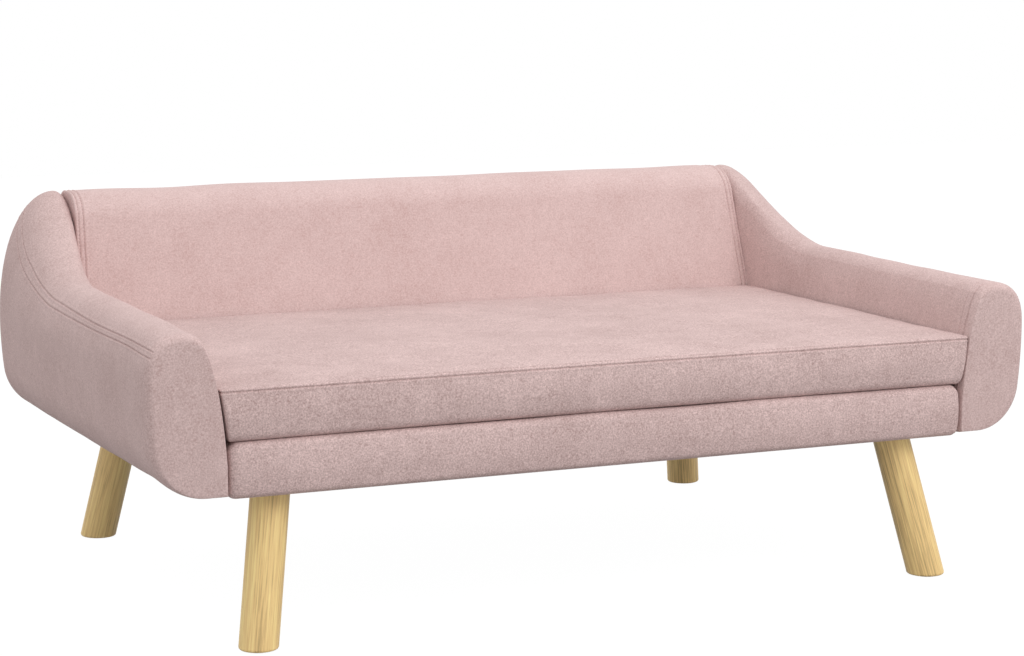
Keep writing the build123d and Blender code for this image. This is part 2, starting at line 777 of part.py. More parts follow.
with BuildPart() as back_foam:
    add(back_filling)
    add(back_board.part, mode=Mode.SUBTRACT)
    add(back_ribs.part, mode=Mode.SUBTRACT)
    add(back_panel.part, mode=Mode.SUBTRACT)
    add(back_top_rail.part, mode=Mode.SUBTRACT)
    add(bolt_holes.part, mode=Mode.SUBTRACT)
back_foam.part.label = "back_foam"
export_step(back_foam.part, "parts/back_foam.step")

with BuildPart() as back_cover:
    add(back_outside)
    add(back_cloth_inside, mode=Mode.SUBTRACT)
    add(bolt_holes.part, mode=Mode.SUBTRACT)
back_cover.part.label = "back_cover"
export_step(back_cover.part, "parts/back_cover.step")

# Zip: it lies on the plane of the cushion's leaning rear, with x running left as seen from the front
zip_height = cushion_bottom + zip_rise
rear_lean = atan2(cushion_back_lean, cushion_edge_height)
zip_plane = Plane(
    origin=(0, cushion_rear(zip_height), zip_height),
    x_dir=(-1, 0, 0),
    z_dir=(0, cos(rear_lean), -sin(rear_lean)),
)
tape_plane = zip_plane.offset(-cloth_thickness)
coil_end = zip_length / 2
slider_start = coil_end - zip_stop_length - slider_end_gap - slider_length / 2
slider_place = (-slider_start, 0)
slider_top = coil_thickness + running_gap + slider_wall

with BuildPart() as zip_slot:
    with BuildSketch(tape_plane):
        Rectangle(zip_length + 2 * soft_gap, zip_slot_height)
    extrude(amount=cut_overrun)
    with BuildSketch(tape_plane):
        Rectangle(zip_length + 2 * soft_gap, zip_tape_height + 2 * soft_gap)
    extrude(amount=-zip_tape_thickness - soft_gap)

with BuildPart() as zip_tape:
    with BuildSketch(tape_plane):
        Rectangle(zip_length, zip_tape_height)
    extrude(amount=-zip_tape_thickness)
zip_tape.part.label = "zip_tape"
export_step(zip_tape.part, "parts/zip_tape.step")

with BuildPart() as zip_coil:
    with BuildSketch(tape_plane):
        Rectangle(zip_length, coil_height)
        stop_x = coil_end - zip_stop_length / 2
        with Locations((-stop_x, 0), (stop_x, 0)):
            Rectangle(zip_stop_length, slider_height)
    extrude(amount=coil_thickness)
zip_coil.part.label = "zip_coil"
export_step(zip_coil.part, "parts/zip_coil.step")

# Zip slider: a body round the coil with a bridge on top for the pull
with BuildPart() as zip_slider:
    with BuildSketch(tape_plane.offset(running_gap)):
        with Locations(slider_place):
            Rectangle(slider_length, slider_height)
    extrude(amount=slider_top - running_gap)
    with BuildSketch(tape_plane):
        with Locations(slider_place):
            Rectangle(slider_length + 2 * cut_overrun, coil_height + 2 * running_gap)
    extrude(amount=coil_thickness + running_gap, mode=Mode.SUBTRACT)
    with BuildSketch(tape_plane.offset(slider_top)):
        with Locations(slider_place):
            Rectangle(bridge_length, bridge_thickness)
    extrude(amount=bridge_room + bridge_bar)
    with BuildSketch(tape_plane.offset(slider_top)):
        with Locations(slider_place):
            Rectangle(bridge_length - 2 * bridge_bar, bridge_thickness)
    extrude(amount=bridge_room, mode=Mode.SUBTRACT)
zip_slider.part.label = "zip_slider"
export_step(zip_slider.part, "parts/zip_slider.step")

# Zip pull: a flat tab whose end bar turns under the slider's bridge
pull_lift = (bridge_room - pull_thickness) / 2
bar_x = -slider_start - bridge_length / 2 + bridge_bar + pull_lift + pull_thickness / 2
tab_end = bar_x + pull_length - pull_thickness / 2
hole_end = -slider_start + (bridge_length + bridge_bar) / 2
with BuildPart() as zip_pull:
    with BuildSketch(tape_plane.offset(slider_top + pull_lift)):
        with Locations((tab_end - pull_length / 2, 0)):
            RectangleRounded(pull_length, pull_height, pull_height / 4)
        hole_start = bar_x + pull_thickness / 2
        with Locations(((hole_start + hole_end) / 2, 0)):
            Rectangle(hole_end - hole_start, bridge_thickness + 2 * running_gap, mode=Mode.SUBTRACT)
    extrude(amount=pull_thickness)
zip_pull.part.label = "zip_pull"
export_step(zip_pull.part, "parts/zip_pull.step")

# Seat cushion: foam and cover, both open for the zip
with BuildPart() as cushion_foam:
    add(cushion_form(lining))
    add(zip_slot.part, mode=Mode.SUBTRACT)
cushion_foam.part.label = "cushion_foam"
export_step(cushion_foam.part, "parts/cushion_foam.step")

with BuildPart() as cushion_cover:
    add(cushion_form(0))
    add(cushion_form(cloth_thickness), mode=Mode.SUBTRACT)
    add(zip_slot.part, mode=Mode.SUBTRACT)
cushion_cover.part.label = "cushion_cover"
export_step(cushion_cover.part, "parts/cushion_cover.step")
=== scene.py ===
import math

import bpy
import numpy as np
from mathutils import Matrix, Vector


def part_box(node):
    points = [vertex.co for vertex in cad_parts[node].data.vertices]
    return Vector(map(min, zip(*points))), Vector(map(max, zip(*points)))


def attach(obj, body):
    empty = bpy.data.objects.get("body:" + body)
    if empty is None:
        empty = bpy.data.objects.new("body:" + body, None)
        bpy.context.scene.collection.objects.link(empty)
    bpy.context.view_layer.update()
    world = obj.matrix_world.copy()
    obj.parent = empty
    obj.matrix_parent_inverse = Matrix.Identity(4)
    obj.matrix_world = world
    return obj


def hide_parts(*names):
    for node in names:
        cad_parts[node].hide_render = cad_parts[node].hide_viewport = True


bl_info = {
    "name": "Dog Sofa Covers",
    "version": (1, 0, 0),
    "blender": (4, 5, 0),
    "location": "View3D > Sidebar > Dog Sofa",
    "description": "Cloth covers, seams, finishes and a studio for a padded dog sofa",
    "category": "Object",
}

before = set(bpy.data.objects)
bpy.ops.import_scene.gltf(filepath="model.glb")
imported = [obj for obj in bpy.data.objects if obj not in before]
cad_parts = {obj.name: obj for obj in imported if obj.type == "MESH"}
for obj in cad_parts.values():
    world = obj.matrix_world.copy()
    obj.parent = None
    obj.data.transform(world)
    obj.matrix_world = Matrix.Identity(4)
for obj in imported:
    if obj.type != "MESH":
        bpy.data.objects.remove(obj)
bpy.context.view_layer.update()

SIDES = {"left": -1, "right": 1}
CORNERS = {"front_left": (-1, -1), "front_right": (1, -1), "rear_left": (-1, 1), "rear_right": (1, 1)}
TIMBER_NODES = (
    "front_rail",
    "rear_rail",
    "left_rail",
    "right_rail",
    "centre_rail",
    "corner_blocks",
    "back_ribs",
    "back_board",
    "back_top_rail",
    "left_arm_board",
    "right_arm_board",
    "left_arm_blocks",
    "right_arm_blocks",
)
PLYWOOD_NODES = ("deck_board", "back_panel", "left_arm_panel", "right_arm_panel")
STEEL_NODES = ("plate_screws", "hanger_bolts", "frame_bolts", "bolt_washers", "tee_nuts")


def length(name, description, default):
    """A length that a user may change, in metres."""
    return bpy.props.FloatProperty(
        name=name, description=description, default=default, min=0, unit="LENGTH"
    )


def three_lengths(name, description, default):
    """Three lengths along the arm's sweep: at its front, half way up and at its rear."""
    return bpy.props.FloatVectorProperty(
        name=name, description=description, default=default, size=3, min=0, unit="LENGTH"
    )


def point(name, description, default):
    """A place that a user may change, in metres."""
    return bpy.props.FloatVectorProperty(
        name=name, description=description, default=default, size=3, subtype="TRANSLATION"
    )


def watts(name, description, default):
    """A lamp's power, in watts."""
    return bpy.props.FloatProperty(
        name=name, description=description, default=default, min=0, unit="POWER"
    )


def strength(name, description, default):
    """How bright a plain light is, where 1 is white."""
    return bpy.props.FloatProperty(name=name, description=description, default=default, min=0)


def tilt(name, description, degrees):
    """An angle that a user may change."""
    return bpy.props.FloatProperty(
        name=name, description=description, default=math.radians(degrees), subtype="ANGLE"
    )


def share(name, description, default):
    """A share from 0 to 1."""
    return bpy.props.FloatProperty(
        name=name, description=description, default=default, min=0, max=1, subtype="FACTOR"
    )


def colour(name, description, default):
    """A colour that a user may change, as linear red, green and blue."""
    return bpy.props.FloatVectorProperty(
        name=name, description=description, default=default, size=3, min=0, max=1, subtype="COLOR"
    )


class ArmSizes(bpy.types.PropertyGroup):
    """The outline of the padded arms."""

    width: length("Sofa width", "From outer side to outer side of the arms", 1.0)
    depth: length("Sofa depth", "From the arms' front to their rear", 0.595)
    height: length("Crest height", "Height of the arms' crest at the rear", 0.4105)
    inner_x: length("Arm joint", "Distance of the arm's inner face from the middle", 0.4203)
    bottom: length("Arm underside", "Height of the arms' underside", 0.1578)
    front_height: length("Front height", "Height of the arm's ridge at its front", 0.3205)
    ridge_climb: length("Ridge climb", "How far the ridge climbs before the sweep", 0.004)
    sweep_start: length("Sweep start", "Distance behind the middle where the sweep starts", 0.065)
    sweep_share: share("Sweep arcs", "Share of the sweep that its two arcs take up", 0.84)
    hollow_share: share("Hollow", "Share of the arcs' radii that the hollow arc has", 0.635)
    lower_radius: length("Lower edge", "Radius of the arm's lower outer edge", 0.056)
    side_lean: tilt("Side lean", "How far the outer side leans in towards the bottom", 6.5)
    widest_height: length("Widest height", "Height at which the arm is widest", 0.271)
    lean_start: length("Lean start", "Height where the inner face starts to lean", 0.208)
    bend_x: length("Bend place", "Distance of the inner face's bend from the middle", 0.429)
    bend_height: length("Bend height", "Height of the inner face's bend", 0.27)
    ridge_inboard: three_lengths(
        "Ridge inboard", "Ridge's distance from the outer side", (0.04, 0.062, 0.066)
    )
    shoulder_inboard: three_lengths(
        "Shoulder inboard", "Shoulder's distance from the outer side", (0.067, 0.0725, 0.087)
    )
    shoulder_drop: three_lengths(
        "Shoulder drop", "Shoulder's distance below the ridge", (0.033, 0.044, 0.045)
    )
    fullness: share("Fullness", "How much squarer than an ellipse the outer top is at the front", 0.6)
    front_rounding: length("Front rounding", "Depth of the front panel's rounded edge", 0.012)
    outer_softness: length("Outer softness", "How far the front edge turns in outside", 0.009)
    inner_softness: length("Inner softness", "How far the front edge turns in beside the seat", 0.002)
    lower_softness: length("Lower softness", "How far the front edge turns in at the bottom", 0.0015)
    front_spread: length("Front spread", "How much wider the arms stand at their front", 0.0025)
    front_bulge: length("Front bulge", "How far the front panel's middle stands proud", 0.0018)
    rear_rounding: length("Rear rounding", "Radius of the arm's rear edge", 0.024)
    rear_bulge: length("Rear bulge", "How far the rear's middle stands proud", 0.0005)


class BackSizes(bpy.types.PropertyGroup):
    """The outline of the padded back."""

    front: length("Front place", "Distance behind the middle of the back's upright foot", 0.19)
    rear: length("Rear place", "Distance behind the middle of the back's rear side", 0.2965)
    bottom: length("Underside", "Height of the back's underside", 0.211)
    bend_height: length("Bend height", "Height where the front starts to lean", 0.262)
    lean: tilt("Lean", "How far the front leans to the rear", 16.3)
    height: length("Height", "Height of the back's top", 0.408)
    top_radius: length("Top radius", "Radius of the front top edge", 0.038)
    rear_radius: length("Rear radius", "Radius of the rear top edge", 0.018)
    end_tuck: length("End tuck", "How far the back's ends reach into the arms", 0.0018)
    top_inboard: length("Top inboard", "Distance of the ends' top from the sofa's side", 0.0788)
    end_rounding: length("End rounding", "Radius where the cover turns in at an end", 0.0022)


class BaseSizes(bpy.types.PropertyGroup):
    """The outline of the padded base."""

    half_width: length("Half width", "Half of the base's width", 0.42)
    half_depth: length("Half depth", "Half of the base's depth", 0.2965)
    bottom: length("Lower edge", "Height of the base's lower edge", 0.1547)
    under_rise: length("Underside's rise", "How far the underside lies above the lower edge", 0.0028)
    top: length("Top", "Height of the base's top", 0.211)
    corner_radius: length("Corner radius", "Radius of the upright corners", 0.010)
    edge_radius: length("Edge radius", "Radius of the top and bottom edges", 0.007)
    end_upper_radius: length("Upper end radius", "Radius of the upper edge at the base's ends", 0.012)
    end_lower_radius: length("Lower end radius", "Radius of the lower edge at the base's ends", 0.007)
    bulge: length("Bulge", "How far the front and rear stand proud at half height", 0.004)
    hem_rise: length("Hem rise", "Height of the hem's crease above the lower edge", 0.0016)


class CushionSizes(bpy.types.PropertyGroup):
    """The outline of the loose seat cushion."""

    bottom: length("Underside", "Height of the cushion's underside", 0.2113)
    edge_height: length("Edge height", "Thickness of the cushion at its edge", 0.053)
    crown: length("Crown", "How far the middle rises above the edge", 0.0078)
    front: length("Front place", "Distance of the front side from the middle", 0.2972)
    front_bulge: length("Front bulge", "How far the front stands proud at half height", 0.004)
    rear: length("Rear place", "Distance of the rear top edge from the middle", 0.1885)
    rear_lean: length("Rear lean", "How far the rear side leans over its height", 0.006)
    half_width: length("Half width", "Half of the width at the underside", 0.4196)
    side_slope: share("Side slope", "Growth of the half width for each unit of height", 0.165)
    rear_taper: length("Rear taper", "How much narrower each side is at the rear", 0.0016)
    draw_in: length("Draw in", "How far the sides pull in between the corners", 0.0024)
    corner_radius: length("Corner radius", "Radius of the upright corners", 0.0035)
    lower_rounding: length("Lower rounding", "Radius of the lower edge", 0.0085)
    end_rounding: length("End rounding", "How far the lower edge turns in at the two ends", 0.0025)
    upper_rounding: length("Upper rounding", "Radius of the upper edge", 0.002)
    seam_drop: length("Seam drop", "How far the seam lies below the rounded upper edge", 0.0012)
    zip_height: length("Zip height", "Height of the zip's middle", 0.222)
    zip_half_length: length("Zip half length", "Half of the zip's opening", 0.3003)
    zip_half_height: length("Zip half height", "Half of the opening's height", 0.006)
    zip_depth: length("Zip depth", "How far the opening is set in", 0.0031)


class SeamSizes(bpy.types.PropertyGroup):
    """Creases and stitches along the seams."""

    depth: length("Seam depth", "Depth of a seam's crease", 0.0011)
    width: length("Seam width", "Half width of a seam's crease", 0.0007)
    puff: length("Puff", "How far the cloth stands up beside a seam", 0.0003)
    front_seam: length("Front seam", "Distance of the front panel's seam behind the front", 0.0125)
    second_seam: length("Second seam", "Distance between the front panel's two seams", 0.0095)
    back_seam_first: length("First back seam", "Distance of the first seam from the back's end", 0.0036)
    back_seam_second: length("Second back seam", "Distance of the second seam from the end", 0.0092)
    stitch_length: length("Stitch length", "Length of one stitch", 0.0029)
    stitch_gap: length("Stitch gap", "Gap between two stitches", 0.0013)
    thread_radius: length("Thread radius", "Half of the thread's thickness", 0.00032)
    fade: length("Fade", "How far behind the front the arms' long seams end", 0.006)
    waviness: length("Waviness", "How uneven the padded cloth lies", 0.00045)


class Finishes(bpy.types.PropertyGroup):
    """Colours of the cloth, wood and metal."""

    velvet: colour("Velvet", "Colour of the covers", (0.594, 0.443, 0.426))
    velvet_mottle: share("Velvet mottle", "How much darker the cloth's hollows are", 0.4)
    thread: colour("Thread", "Colour of the seams' thread", (0.36, 0.23, 0.22))
    oak: colour("Oak", "Colour of the legs", (0.83, 0.575, 0.25))
    timber: colour("Timber", "Colour of the rails inside", (0.62, 0.42, 0.23))
    plywood: colour("Plywood", "Colour of the boards inside", (0.66, 0.48, 0.29))
    # Darker than bright zinc plating: painted shade for plates and screws in the shadow under the base.
    steel: colour("Steel", "Colour of the plates and screws", (0.40, 0.40, 0.41))
    nickel: colour("Nickel", "Colour of the zip's slider and pull", (0.56, 0.54, 0.51))
    dust_cloth: colour("Dust cloth", "Colour of the cloth below", (0.03, 0.03, 0.033))
    felt: colour("Felt", "Colour of the foot pads", (0.12, 0.09, 0.07))


class Studio(bpy.types.PropertyGroup):
    """The camera, lamps and floor."""

    camera_place: point("Camera", "Where the camera stands", (-1.2528, -2.7794, 0.6989))
    turn: tilt("Turn", "How far the camera turns to the right", 24.54)
    dip: tilt("Dip", "How far the camera looks down", 8.19)
    focal_pixels: bpy.props.FloatProperty(
        name="Focal length", description="Focal length in widths of one pixel", default=2738.4, min=1
    )
    image_width: bpy.props.IntProperty(
        name="Image width", description="Pixels across", default=1024, min=1
    )
    ambient: strength("Ambient", "Light from all round", 0.87)
    top_lamp: watts("Top lamp", "Power of the large lamp above", 12)
    top_lamp_width: length("Top lamp's width", "Width of the large lamp above", 2.6)
    top_lamp_place: point("Top lamp's place", "Where the large lamp hangs", (0.3, -0.3, 2.6))
    side_lamp: watts("Side lamp", "Power of the lamp at the right front", 35)
    side_lamp_width: length("Side lamp's width", "Width of the lamp at the right front", 1.8)
    side_lamp_place: point("Side lamp's place", "Where the right front lamp stands", (1.35, -2.7, 2.35))
    aim_height: length("Aim height", "Height of the point that both lamps face", 0.25)
    floor_reach: length("Floor's reach", "Half of the floor's width", 5)
    floor_colour: colour("Floor", "Colour of the floor's paper", (0.42, 0.42, 0.42))
    floor_glow: strength("Floor's glow", "How light the paper looks where nothing shades it", 1.12)
    glow_share: share("Glow's share", "How much of what the camera sees of the paper is its glow", 0.88)


GROUPS = {
    "arm_sizes": ArmSizes,
    "back_sizes": BackSizes,
    "base_sizes": BaseSizes,
    "cushion_sizes": CushionSizes,
    "seam_sizes": SeamSizes,
    "sofa_finishes": Finishes,
    "sofa_studio": Studio,
}


# Surfaces

# A distance beyond the reach of any seam, and the smallest length that others are divided by
FAR = 1.0
SMALLEST = 1e-12

# Soft unevenness: how many waves are added up, and their shortest and longest length
WAVE_COUNT = 10
WAVE_LENGTHS = (0.045, 0.19)

# The puffs beside a seam: their place and width, as shares of the crease's half width
PUFF_PLACE_SHARE = 3
PUFF_WIDTH_SHARE = 1.6

# How much of its loop the smallest row keeps where a flat face is closed
FLAT_FIRST_SHARE = 0.02


def smooth_step(value, low, high):
    """Rises from 0 at low to 1 at high: t squared times (3 - 2 t), with t the share of the way."""
    t = np.clip((value - low) / (high - low), 0, 1)
    return t * t * (3 - 2 * t)


def smooth_through(place, stations, values):
    """A smooth curve through values at stations: on each span a cubic whose slopes at the two
    stations are the mean slopes of the spans beside them."""
    stations, values = np.asarray(stations, float), np.asarray(values, float)
    slopes = np.gradient(values, stations)
    place = np.clip(place, stations[0], stations[-1])
    span = np.clip(np.searchsorted(stations, place, side="right") - 1, 0, len(stations) - 2)
    run = stations[span + 1] - stations[span]
    t = (place - stations[span]) / run
    start = (1 + 2 * t) * (1 - t) ** 2 * values[span] + t * (1 - t) ** 2 * run * slopes[span]
    end = t * t * (3 - 2 * t) * values[span + 1] + t * t * (t - 1) * run * slopes[span + 1]
    return start + end


def open_steps(start, end, count):
    """count even steps from start up to but not with end, added as a last axis."""
    start, end = np.asarray(start, float)[..., None], np.asarray(end, float)[..., None]
    return start + (end - start) * np.linspace(0, 1, count, endpoint=False)


def grid_normals(grid):
    """Unit normals of a grid whose columns run round: the cross product of the two directions."""
    along = np.gradient(grid, axis=0)
    across = np.roll(grid, -1, axis=1) - np.roll(grid, 1, axis=1)
    normals = np.cross(across, along)
    size = np.linalg.norm(normals, axis=-1, keepdims=True)
    normals = normals / np.maximum(size, SMALLEST)
    centre = grid.reshape(-1, 3).mean(axis=0)
    outward = np.sum(normals * (grid - centre)) > 0
    return normals if outward else -normals


def uneven(grid, amount, seed):
    """Soft unevenness: the sum of sine waves through space, each with a length and a direction of its
    own, over the root of their number."""
    draw = np.random.default_rng(seed)
    directions = draw.normal(size=(WAVE_COUNT, 3))
    directions /= np.linalg.norm(directions, axis=1, keepdims=True)
    lengths = draw.uniform(*WAVE_LENGTHS, WAVE_COUNT)
    phases = draw.uniform(0, 2 * math.pi, WAVE_COUNT)
    waves = np.sin(grid @ (directions * (2 * math.pi / lengths)[:, None]).T + phases)
    return amount * waves.sum(axis=-1) / math.sqrt(WAVE_COUNT)


def crease(distance, sizes, weight=1):
    """A seam across the distance from its line: a narrow hollow between two low puffs, each a bell."""
    hollow = -sizes.depth * np.exp(-((distance / sizes.width) ** 2))
    aside = np.abs(distance) - PUFF_PLACE_SHARE * sizes.width
    puffs = sizes.puff * np.exp(-((aside / (PUFF_WIDTH_SHARE * sizes.width)) ** 2))
    return weight * (hollow + puffs)


def skin_mesh(name, grid):
    """A closed mesh from a grid whose columns run round and whose rows run along it. A fan to the
    middle of the first and of the last row closes the ends, and the faces are turned outwards."""
    rows, columns = grid.shape[:2]
    row, column = np.meshgrid(np.arange(rows - 1), np.arange(columns), indexing="ij")
    beside = (column + 1) % columns
    corners = [row * columns + column, row * columns + beside, (row + 1) * columns + beside]
    quads = np.stack([*corners, (row + 1) * columns + column], axis=-1).reshape(-1, 4)
    ring, turned = np.arange(columns), (np.arange(columns) + 1) % columns
    first_pole, last_pole, last_row = rows * columns, rows * columns + 1, (rows - 1) * columns
    start_fan = np.stack([np.full(columns, first_pole), turned, ring], axis=-1)
    end_fan = np.stack([np.full(columns, last_pole), last_row + ring, last_row + turned], axis=-1)
    points = np.concatenate([grid.reshape(-1, 3), grid[:1].mean(axis=1), grid[-1:].mean(axis=1)])
    thirds = np.concatenate([quads[:, :3], quads[:, [0, 2, 3]], start_fan, end_fan])
    a, b, c = (points[thirds[:, i]] for i in range(3))
    if np.sum(a * np.cross(b, c)) < 0:
        quads, start_fan, end_fan = quads[:, ::-1], start_fan[:, ::-1], end_fan[:, ::-1]
    faces = quads.tolist() + start_fan.tolist() + end_fan.tolist()
    mesh = bpy.data.meshes.new(name)
    mesh.from_pydata(points.tolist(), [], faces)
    mesh.polygons.foreach_set("use_smooth", np.ones(len(faces), bool))
    mesh.update()
    return mesh


def add_piece(name, mesh, material, body):
    """Puts a finished mesh into the scene as a piece that rides on a body."""
    piece = bpy.data.objects.new(name, mesh)
    bpy.context.scene.collection.objects.link(piece)
    piece.data.materials.append(material)
    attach(piece, body)
    return piece


def closing_rows(loop, centre, first_share, count):
    """Rows that close a flat end: the loop drawn towards a centre, in even shares from the first
    one up to 1. Also gives the shares."""
    shares = np.linspace(first_share, 1, count, endpoint=False)[:, None, None]
    return centre + (loop - centre) * shares, shares


def rounded_turns(radius, count, opening):
    """The rows that round an edge, as points on a quarter circle: how far in from the edge's side,
    and how far from its end."""
    turns = np.linspace(0, math.pi / 2, count)
    if opening:
        turns = turns[::-1]
    return radius * (1 - np.cos(turns)), radius * (1 - np.sin(turns))


# Arms

# How many columns each stretch of the arm's section has
ARM_BANDS = {"bottom": 8, "lower": 18, "side": 30, "plain": 12, "seam": 14, "between": 2}
ARM_BANDS |= {"inner": 30, "line": 12}

# How far a seam's band reaches to either side, as a share of the strip between the two seams
SEAM_BAND_SHARE = 0.45

# The places in depth between which the front's spread and its squarer top fade out
SPREAD_RUN = (-0.29, -0.2)
FULLNESS_RUN = (-0.24, -0.06)

# How many rows round the front and rear edges, and how many close the two ends
FRONT_ROWS, REAR_ROWS = 12, 20
FRONT_CAP_ROWS, REAR_CAP_ROWS = 22, 16

# Where the closing rows are drawn to, and how much of the loop the smallest of them keeps
CAP_CENTRE = (0.462, 0, 0.245)
REAR_CAP_LIFT = (0, 0, 0.04)
CAP_FIRST_SHARE = 0.04

# Steps between the rows at the front's seams and behind them, and the room beside each stretch
SEAM_STEP, PLAIN_STEP = 0.00055, 0.0032
FRONT_MARGIN, BAND_MARGIN, REAR_MARGIN = 0.0005, 0.002, 0.001

# How far the close rows go on behind the second seam, in half widths of its crease
SEAM_BAND_WIDTHS = 5

# How much of the rear edge's rounding the inner face takes part in
REAR_INNER_SHARE = 0.2

# Where the outer seams start to show, as a share of the distance at which they fully show
SEAM_FADE_SHARE = 0.4

# How many times as deep as a plain seam the front panel's first one is
FRONT_SEAM_WEIGHT = 1.5

# How far the cloth faces the seat, or away from it, where the front's creases fade in
INNER_SIDE, OUTER_SIDE = (0.1, 0.6), (0.4, 0.9)

# The soft fold on the outer side: its depth, half width, and the heights where it fades out
FOLD_DEPTH, FOLD_WIDTH = 0.0005, 0.0028
FOLD_TOP = (0.27, 0.31)

# The distances behind the front between which the unevenness sets in
UNEVEN_START = (0.004, 0.03)

# The wrinkles near the top of the sweep
PUCKER_DEPTH, PUCKER_PITCH = 0.0006, 0.011
PUCKER_PLACE, PUCKER_REACH = (0.458, 0.215, 0.385), (0.02, 0.012, 0.02)
PUCKER_TURN = (0.3, 0.95, 0.2)


def ridge_height(arm, y):
    """Height of the arm's ridge at y: a climbing line, a hollow arc, a straight rise that touches
    both arcs, and a crest arc that is level at the rear."""
    half_depth = arm.depth / 2
    foot = arm.front_height + arm.ridge_climb
    run, rise = half_depth - arm.sweep_start, arm.height - foot
    radii = arm.sweep_share * (run * run + rise * rise) / (2 * rise)
    hollow = radii * arm.hollow_share
    crest = radii - hollow
    slope = math.asin(radii / math.hypot(run, rise - radii)) - math.atan2(radii - rise, run)
    rise_start = arm.sweep_start + hollow * math.sin(slope)
    rise_end = half_depth - crest * math.sin(slope)
    low = foot - arm.ridge_climb * (arm.sweep_start - y) / (arm.sweep_start + half_depth)
    hollow_arc = foot + hollow - np.sqrt(np.maximum(hollow**2 - (y - arm.sweep_start) ** 2, 0))
    straight = foot + hollow * (1 - math.cos(slope)) + (y - rise_start) * math.tan(slope)
    crest_arc = arm.height - crest + np.sqrt(np.maximum(crest**2 - (half_depth - y) ** 2, 0))
    places = [y < arm.sweep_start, y < rise_start, y < rise_end]
    return np.select(places, [low, hollow_arc, straight], crest_arc)


def along_sweep(arm, top, places):
    """A size that changes with the ridge, from its three values at the front, half way and rear."""
    risen = (top - arm.front_height) / (arm.height - arm.front_height)
    return np.interp(risen, (0, 0.5, 1), tuple(places))


def seam_turns(y):
    """Where the two seams lie on the outer quarter ellipse at y, as turns in radians: smooth curves
    through the degrees given, so that the strip between them follows the sweep."""
    stations = (-0.30, -0.20, -0.06, 0.01, 0.075, 0.12, 0.153)
    stations += (0.184, 0.209, 0.227, 0.243, 0.258, 0.272, 0.2975)
    lower = (29.0, 30.4, 33.0, 33.8, 35.2, 35.6, 34.2, 33.0, 34.2, 36.8, 39.4, 43.4, 50.0, 62.0)
    upper = (39.4, 39.2, 41.0, 43.2, 45.4, 45.0, 42.8, 41.6, 42.2, 44.2, 47.2, 51.0, 56.8, 68.0)
    return tuple(np.radians(smooth_through(y, stations, turns)) for turns in (lower, upper))


def eased(strip, passes=80):
    """Softens the corners of a strip of columns between its two edges: each pass takes a quarter of
    the left neighbour, half of the column and a quarter of the right one."""
    for _ in range(passes):
        strip[:, 1:-1] = (strip[:, :-2] + 2 * strip[:, 1:-1] + strip[:, 2:]) / 4


